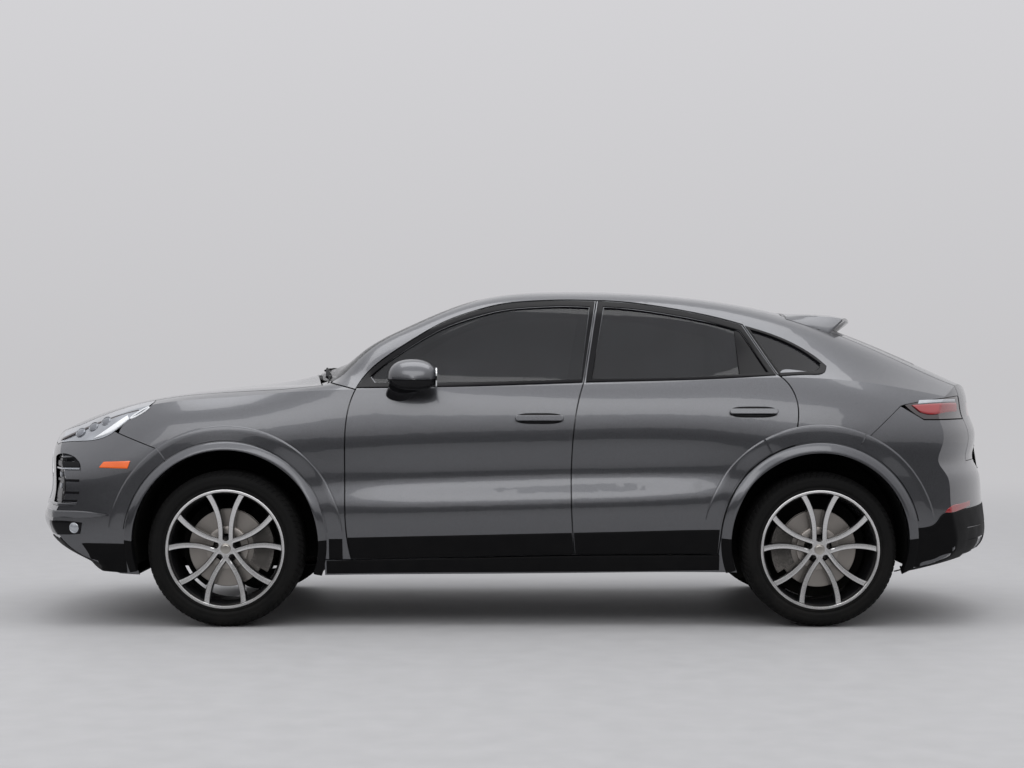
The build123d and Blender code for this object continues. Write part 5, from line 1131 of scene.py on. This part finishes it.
def spoiler():
    """The roof's end spoiler: for each half width a closed section that runs back level from the roof to a thin
    trailing edge, forward and down under it to the skin, and back along the skin. Past its top edge the
    section sinks evenly to the skin, which makes the cheek."""
    half = np.concatenate([np.linspace(0, CHEEK_TOP, 24), np.linspace(CHEEK_TOP, CHEEK_FOOT, 9)[1:]])
    y = np.concatenate([-half[:0:-1], half])
    wide = np.abs(y)[:, None]
    flat = np.minimum(wide, CHEEK_TOP)
    sink = np.clip((wide - CHEEK_TOP) / (CHEEK_FOOT - CHEEK_TOP), 0, 1)
    end = smooth_line(*zip(*SPOILER_EDGE), flat[:, 0]) - CHEEK_RUN * sink
    x = SPOILER_START + (end - SPOILER_START) * np.linspace(0, 1, 30)[None]
    top = top_height(0 * flat + SPOILER_FALL[0][0], flat) - np.interp(x, *zip(*SPOILER_FALL))
    skin = top_height(x, wide + 0 * x)
    top = np.maximum(top * (1 - sink) + (skin + .0015) * sink, skin + .0008)
    edge = np.minimum(EDGE_THICK, top[:, -1:] - skin[:, -1:] + .004)
    back = np.linspace(0, 1, 8)[None]
    under_x = end - back * UNDER_REACH
    under_z = top[:, -1:] - edge - back * UNDER_REACH * UNDER_FALL
    under_z = np.maximum(under_z, top_height(under_x, wide + 0 * under_x) - SINK)
    home_x = x[:, ::-1][:, 7:]
    home_z = top_height(home_x, wide + 0 * home_x) - SINK
    return closed(np.concatenate([x, under_x, home_x], 1), y[:, None],
                  np.concatenate([top, under_z, home_z], 1))


wing = body_piece("spoiler_shell", spoiler(), BODY_PAINT, "tailgate", angle=35)
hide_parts("roof_spoiler")


# ---- padded seats ---------------------------------------------------------------------------------------------
VOXEL = 0.010
PRESSURE = 4.0
SWELL_FRAMES = 20
SEW_DEPTH, SEW_WIDTH = .007, .011
PULL_IN = .07                            # how far a pad's sides pull in between its corners, as a share
# Pads by name: half size, cap of the swelling, sewn lines across and along as shares, and lift of the long edges.
PAD_FORMS = {
    "cushion": ((.232, .222, .058), .020, (-.42, -.08, .26), (.62,), .016),
    "back": ((.262, .220, .046), .018, (-.50, -.18, .14, .46), (.62,), .016),
    "rest": ((.066, .112, .038), .012, (), (), 0),
    "bench": ((.180, .285, .052), .018, (-.35, .10), (.72,), .010),
    "squab": ((.250, .285, .044), .018, (-.45, -.10, .25), (.72,), .010),
}
SEAT_Y, BENCH_Y = .380, .305
SEAT = (("cushion", (-.212, 0, .560), -3), ("back", (.158, 0, .815), 107.7), ("rest", (.282, 0, 1.152), 98))


def superellipsoid(columns, rows, power, crown):
    """A squared-off ball between -1 and 1: x = c(v) c(u), y = c(v) s(u), z = s(v), with the waves raised to a
    power, the crown's for z."""
    u = turn(columns).T
    v = np.linspace(-np.pi / 2, np.pi / 2, rows)[:, None]
    flat = bent(np.cos(v), power)
    return flat * bent(np.cos(u), power), flat * bent(np.sin(u), power), bent(np.sin(v), crown) + 0 * u


def pillow(size, bolster):
    """A crowned pad about its own middle: a squared-off ball whose sides pull in between its corners, with its
    two long edges lifted by bolster. Its thin way is z, its width y and its length x."""
    x, y, z = superellipsoid(72, 41, .30, .62)
    x, y = x * (1 - PULL_IN * (1 - y**2)), y * (1 - PULL_IN * (1 - x**2))
    z = z + bolster / size[2] * np.clip(np.abs(y) * 1.9 - 1, 0, 1)**1.5 * (z > 0)
    return np.stack([x * size[0], y * size[1], z * size[2]], -1).reshape(-1, 3), grid_faces(41, 72, False, True)


def slab(low, high):
    """A box between two corners with small rounded edges."""
    low, high = np.array(low, float), np.array(high, float)
    points = np.stack(superellipsoid(64, 33, .12, .12), -1)
    return (points * (high - low) / 2 + (high + low) / 2).reshape(-1, 3), grid_faces(33, 64, False, True)


def evaluated(piece):
    """A piece with its modifiers worked out."""
    return piece.evaluated_get(bpy.context.evaluated_depsgraph_get())


def swollen(shape, cap):
    """A pad as an even voxel mesh, swelled by Cloth under pressure without gravity, each point by cap at most."""
    pad = linked_object("pad_form", *shape)
    outward(pad)
    even_mesh = pad.modifiers.new("even", "REMESH")
    even_mesh.mode = "VOXEL"
    even_mesh.voxel_size = VOXEL
    pad.data = bpy.data.meshes.new_from_object(evaluated(pad))
    pad.modifiers.clear()
    points = mesh_points(pad.data)
    cloth = pad.modifiers.new("swell", "CLOTH")
    cloth.settings.use_pressure = True
    cloth.settings.uniform_pressure_force = PRESSURE
    cloth.settings.effector_weights.gravity = 0
    cloth.point_cache.frame_start, cloth.point_cache.frame_end = 1, SWELL_FRAMES
    for moment in range(1, SWELL_FRAMES + 1):
        bpy.context.scene.frame_set(moment)
    move = mesh_points(evaluated(pad).data) - points
    reach = np.linalg.norm(move, axis=1, keepdims=True)
    points = points + move * np.minimum(1, cap / np.maximum(reach, 1e-9))
    bpy.context.scene.frame_set(1)
    faces = np.empty(len(pad.data.loops), int)
    pad.data.loops.foreach_get("vertex_index", faces)
    bpy.data.objects.remove(pad)
    return points, faces.reshape(-1, 4)


def sewn(points, size, channels, seams):
    """Presses sewn lines into a pad's upper face: across it at the shares channels of its half length, and
    along it at the shares seams of its half width."""
    x, y, z = (points / size).T
    press = np.zeros(len(points))
    inside = np.abs(y) < (max(seams) if seams else .9)
    for share in channels:
        press += np.exp(-((x - share) * size[0] / SEW_WIDTH)**2) * inside
    for share in seams:
        press += np.exp(-((np.abs(y) - share) * size[1] / SEW_WIDTH)**2)
    moved = points.copy()
    moved[:, 2] -= SEW_DEPTH * np.minimum(press, 1) * np.clip(z * 2, 0, 1)
    return moved


PADS = {}
for name, (size, cap, channels, seams, bolster) in PAD_FORMS.items():
    points, faces = swollen(pillow(size, bolster), cap)
    PADS[name] = sewn(points, size, channels, seams), faces


def laid_out(layout, y):
    """Pads turned about y by their tilt in degrees (0 lies flat, 90 stands up facing the nose) and moved to
    their places: (name, place, tilt) each, all at the sideways place y."""
    parts = []
    for name, place, tilt in layout:
        points, faces = PADS[name]
        a = math.radians(tilt)
        px, py, pz = points.T
        turned = np.stack([px * math.cos(a) - pz * math.sin(a), py, px * math.sin(a) + pz * math.cos(a)], -1)
        parts.append((turned + np.add(place, (0, y, 0)), faces))
    return parts


def padded_piece(name, parts, node=None):
    """A leather piece made of pads that takes the place of a CAD node."""
    piece = body_piece(name, joined(parts), LEATHER, angle=60)
    smooth = piece.modifiers.new("smooth", "SUBSURF")
    smooth.levels = smooth.render_levels = 1
    if node:
        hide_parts(node)


seat_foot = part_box("front_seats")[0][2]
bench_low, bench_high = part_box("rear_bench")
base = []
for side, hand in SIDES:
    middle = side * SEAT_Y
    padded_piece(f"seat_pads_{hand}", laid_out(SEAT, middle), "front_seats" if side < 0 else None)
    y = sorted((side * .150, side * .610))
    base.append(slab((-.415, y[0], seat_foot), (.075, y[1], .492)))
    for post in (-.045, .045):
        base.append(slab((.262, middle + post - .006, 1.060), (.274, middle + post + .006, 1.130)))
body_piece("seat_bases", joined(base), CABIN)

back_line = bench_high[0] - .160
bench = (("bench", (.762, 0, .585), -2), ("squab", (back_line + .040, 0, .885), 106))
padded_piece("bench_pads", laid_out(bench, -BENCH_Y) + laid_out(bench, BENCH_Y), "rear_bench")
body_piece("bench_base", slab((.585, -.630, bench_low[2]), (min(back_line, .950), .630, .525)), CABIN)


# ---- door trims, cabin trim, wipers and engine cover ----------------------------------------------------------
TRIM_FACE = ((0, -.1115), (.015, -.1165), (.985, -.1165), (1, -.1115))
# A rear trim's rear edge as (height, x), and the cowl's rear edge as (half width, x).
REAR_TRIM_EDGE = ((.430, .950), (.620, .995), (.755, 1.080), (.843, 1.190), (.950, 1.300), (1.125, 1.310))
COWL_EDGE = ((0, -1.048), (.300, -1.030), (.600, -.985), (.838, -.955))
ARM_REST, DOOR_POCKET = (.735, .800, -.165), (.470, .585, -.146)


def ledge(left, right, low, high, reach, side):
    """A padded ledge on a door's inner face between two x and two heights, standing reach in from the skin."""
    profile = [(0, -.116), (.06, reach * .86), (.20, reach), (.80, reach), (.94, reach * .86), (1, -.116)]
    return level_band(left, right, high, low, 24, profile, on_side, side, reach - .004)


z = np.linspace(.430, 1.125, 28)
front_trim = np.interp(z, (.43, .80, 1.13), (-.765, -.785, -.735)), np.full_like(z, .220)
rear_trim = np.full_like(z, .352), np.interp(z, *zip(*REAR_TRIM_EDGE))
for side, hand in SIDES:
    for door, (left, right), rest, pocket in (
            (f"front_door_{hand}", front_trim, (-.360, .170), (-.640, .150)),
            (f"rear_door_{hand}", rear_trim, (.450, .980), (.390, .900))):
        panel = band(np.stack([left, z], -1), np.stack([right, z], -1), TRIM_FACE, on_side, side, back=-.1185)
        parts = [panel, ledge(*rest, *ARM_REST, side), ledge(*pocket, *DOOR_POCKET, side)]
        body_piece(f"{door}_trim", joined(parts), CABIN, door)

body_piece("cabin_display", joined([slab((-.603, -.150, .955), (-.588, .150, 1.060)),
                                    slab((-.700, -.500, 1.092), (-.672, -.260, 1.150))]), GLOSS_BLACK)
body_piece("dash_hood", joined([slab((-.790, -.515, 1.086), (-.674, -.245, 1.165)),
                                slab((-.780, -.680, 1.084), (-.640, .680, 1.104))]), CABIN)

blades = []
t = np.linspace(0, 1, 24)
for base_y, tip_y in ((-.060, .560), (-.640, -.130)):
    y = base_y + (tip_y - base_y) * t
    x = np.interp(np.abs(y), *zip(*COWL_EDGE)) + .034 + .030 * t
    height = top_height(x, y) + .0075 + .004 * np.sin(np.pi * t)
    blades.append(rod(np.stack([x, y, height], -1), .0045, 8))
    blades.append(rod(np.stack([x - .006, y, height + .006], -1)[:14], .0060, 8))
body_piece("wipers", joined(blades), TRIM_BLACK)

engine_low, engine_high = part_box("engine_block")
middle, top = (engine_low[0] + engine_high[0]) / 2, engine_high[2]
parts = [slab((middle - .270, -.235, top + .002), (middle + .270, .235, top + .050))]
for y in (-.165, -.110, .110, .165):
    parts.append(slab((middle - .230, y - .012, top + .046), (middle + .230, y + .012, top + .062)))
for y in (-.205, .205):
    parts.append(slab((middle - .200, y - .016, top + .040), (middle + .060, y + .016, top + .072)))
body_piece("engine_cover", joined(parts), GLOSS_BLACK)


# ---- stage ----------------------------------------------------------------------------------------------------
HORIZON = (0.565, 0.56, 0.575, 1)
FLOOR_HALF = 150


def add_camera():
    """A level camera beside the left flank, looking straight across the car."""
    data = bpy.data.cameras.new("view")
    data.lens = 66.7
    data.clip_end = 200
    camera = bpy.data.objects.new("view", data)
    camera.location = (-0.0205, -10.18, 1.1835)
    camera.rotation_euler = (math.pi / 2, 0, 0)
    bpy.context.scene.collection.objects.link(camera)
    bpy.context.scene.camera = camera


def add_lamp(name, place, aim, size, power):
    """A soft rectangular lamp at place, facing aim."""
    data = bpy.data.lights.new(name, "AREA")
    data.shape = "RECTANGLE"
    data.size, data.size_y = size
    data.energy = power
    lamp = bpy.data.objects.new(name, data)
    lamp.location = place
    x, y, z = np.subtract(place, aim)
    lamp.rotation_euler = (math.atan2(math.hypot(x, y), z), 0, math.atan2(y, x) + math.pi / 2)
    bpy.context.scene.collection.objects.link(lamp)


def sky():
    """A plain studio world: pale at the horizon and brighter overhead, by the height of the direction."""
    world = bpy.data.worlds.new("studio")
    bpy.context.scene.world = world
    world.use_nodes = True
    tree = world.node_tree
    tree.nodes.clear()
    up = wire(tree, "SeparateXYZ", {0: wire(tree, "TexCoord").outputs["Generated"]}).outputs[2]
    ramp = wire(tree, "ValToRGB", {0: up})
    wire(tree, "OutputWorld", {0: wire(tree, "Background", {"Color": ramp})})
    steps = ramp.color_ramp.elements
    steps[0].position, steps[0].color = 0.0, HORIZON
    steps[1].position, steps[1].color = 0.75, (1.12, 1.12, 1.15, 1)
    steps.new(0.22).color = (0.66, 0.655, 0.675, 1)


def floor_finish():
    """Pale sealed floor with faint mottling; far from the car it fades into the plain background."""
    material, tree, shader = finish("studio_floor")
    grain = placed(tree, GRAIN, {"Colour": (0.40, 0.40, 0.405, 1), "Roughness": 0.6, "Scale": 30.0, "Height": 0.02,
                                 "Mottle": 0.04})
    put(tree, shader.inputs, {"Base Color": grain["Colour"], "Roughness": grain["Roughness"]})
    far = wire(tree, "VectorMath", {0: wire(tree, "TexCoord").outputs["Object"]}, operation="LENGTH")
    fade = wire(tree, "MapRange", {0: far.outputs["Value"], 1: 4.5, 2: 15.0}, interpolation_type="SMOOTHSTEP")
    glow = wire(tree, "Emission", {"Color": HORIZON, "Strength": 1.0})
    mix = wire(tree, "MixShader", {0: fade.outputs[0], 1: shader.outputs[0], 2: glow.outputs[0]})
    tree.links.new(mix.outputs[0], tree.nodes["Material Output"].inputs[0])
    return material


def dark_flags(radius, top):
    """A low dark wall past the left side, outside the view, that only reflections see: it gives the paint
    depth."""
    a = np.radians(np.linspace(186, 318, 64))
    ring = np.stack([radius * np.cos(a), radius * np.sin(a), 0 * a], -1)
    cloth = moulded("flag_cloth", (0.03, 0.03, 0.03), 0.9, scale=60, height=0.1, specular=0.0)
    flags = linked_object("dark_flags", np.concatenate([ring, ring + (0, 0, top)]), grid_faces(2, len(a)), cloth)
    flags.visible_camera = flags.visible_diffuse = flags.visible_shadow = flags.visible_transmission = False


def plain(box):
    """A box's two corners as plain lists."""
    return [[float(v) for v in corner] for corner in box]


add_camera()
sky()
add_lamp("overhead", (0, -1.2, 6.5), (0, 0, 0.6), (7.5, 4.0), 170)
add_lamp("flank", (-1.0, -8.0, 5.2), (0, 0, 0.8), (9.0, 2.4), 100)
corners = [(x * FLOOR_HALF, y * FLOOR_HALF, 0) for x, y in ((-1, -1), (1, -1), (1, 1), (-1, 1))]
floor = linked_object("floor", corners, [(0, 1, 2, 3)], floor_finish())
dark_flags(9.6, 2.1)
bpy.context.scene.view_settings.view_transform = "Standard"
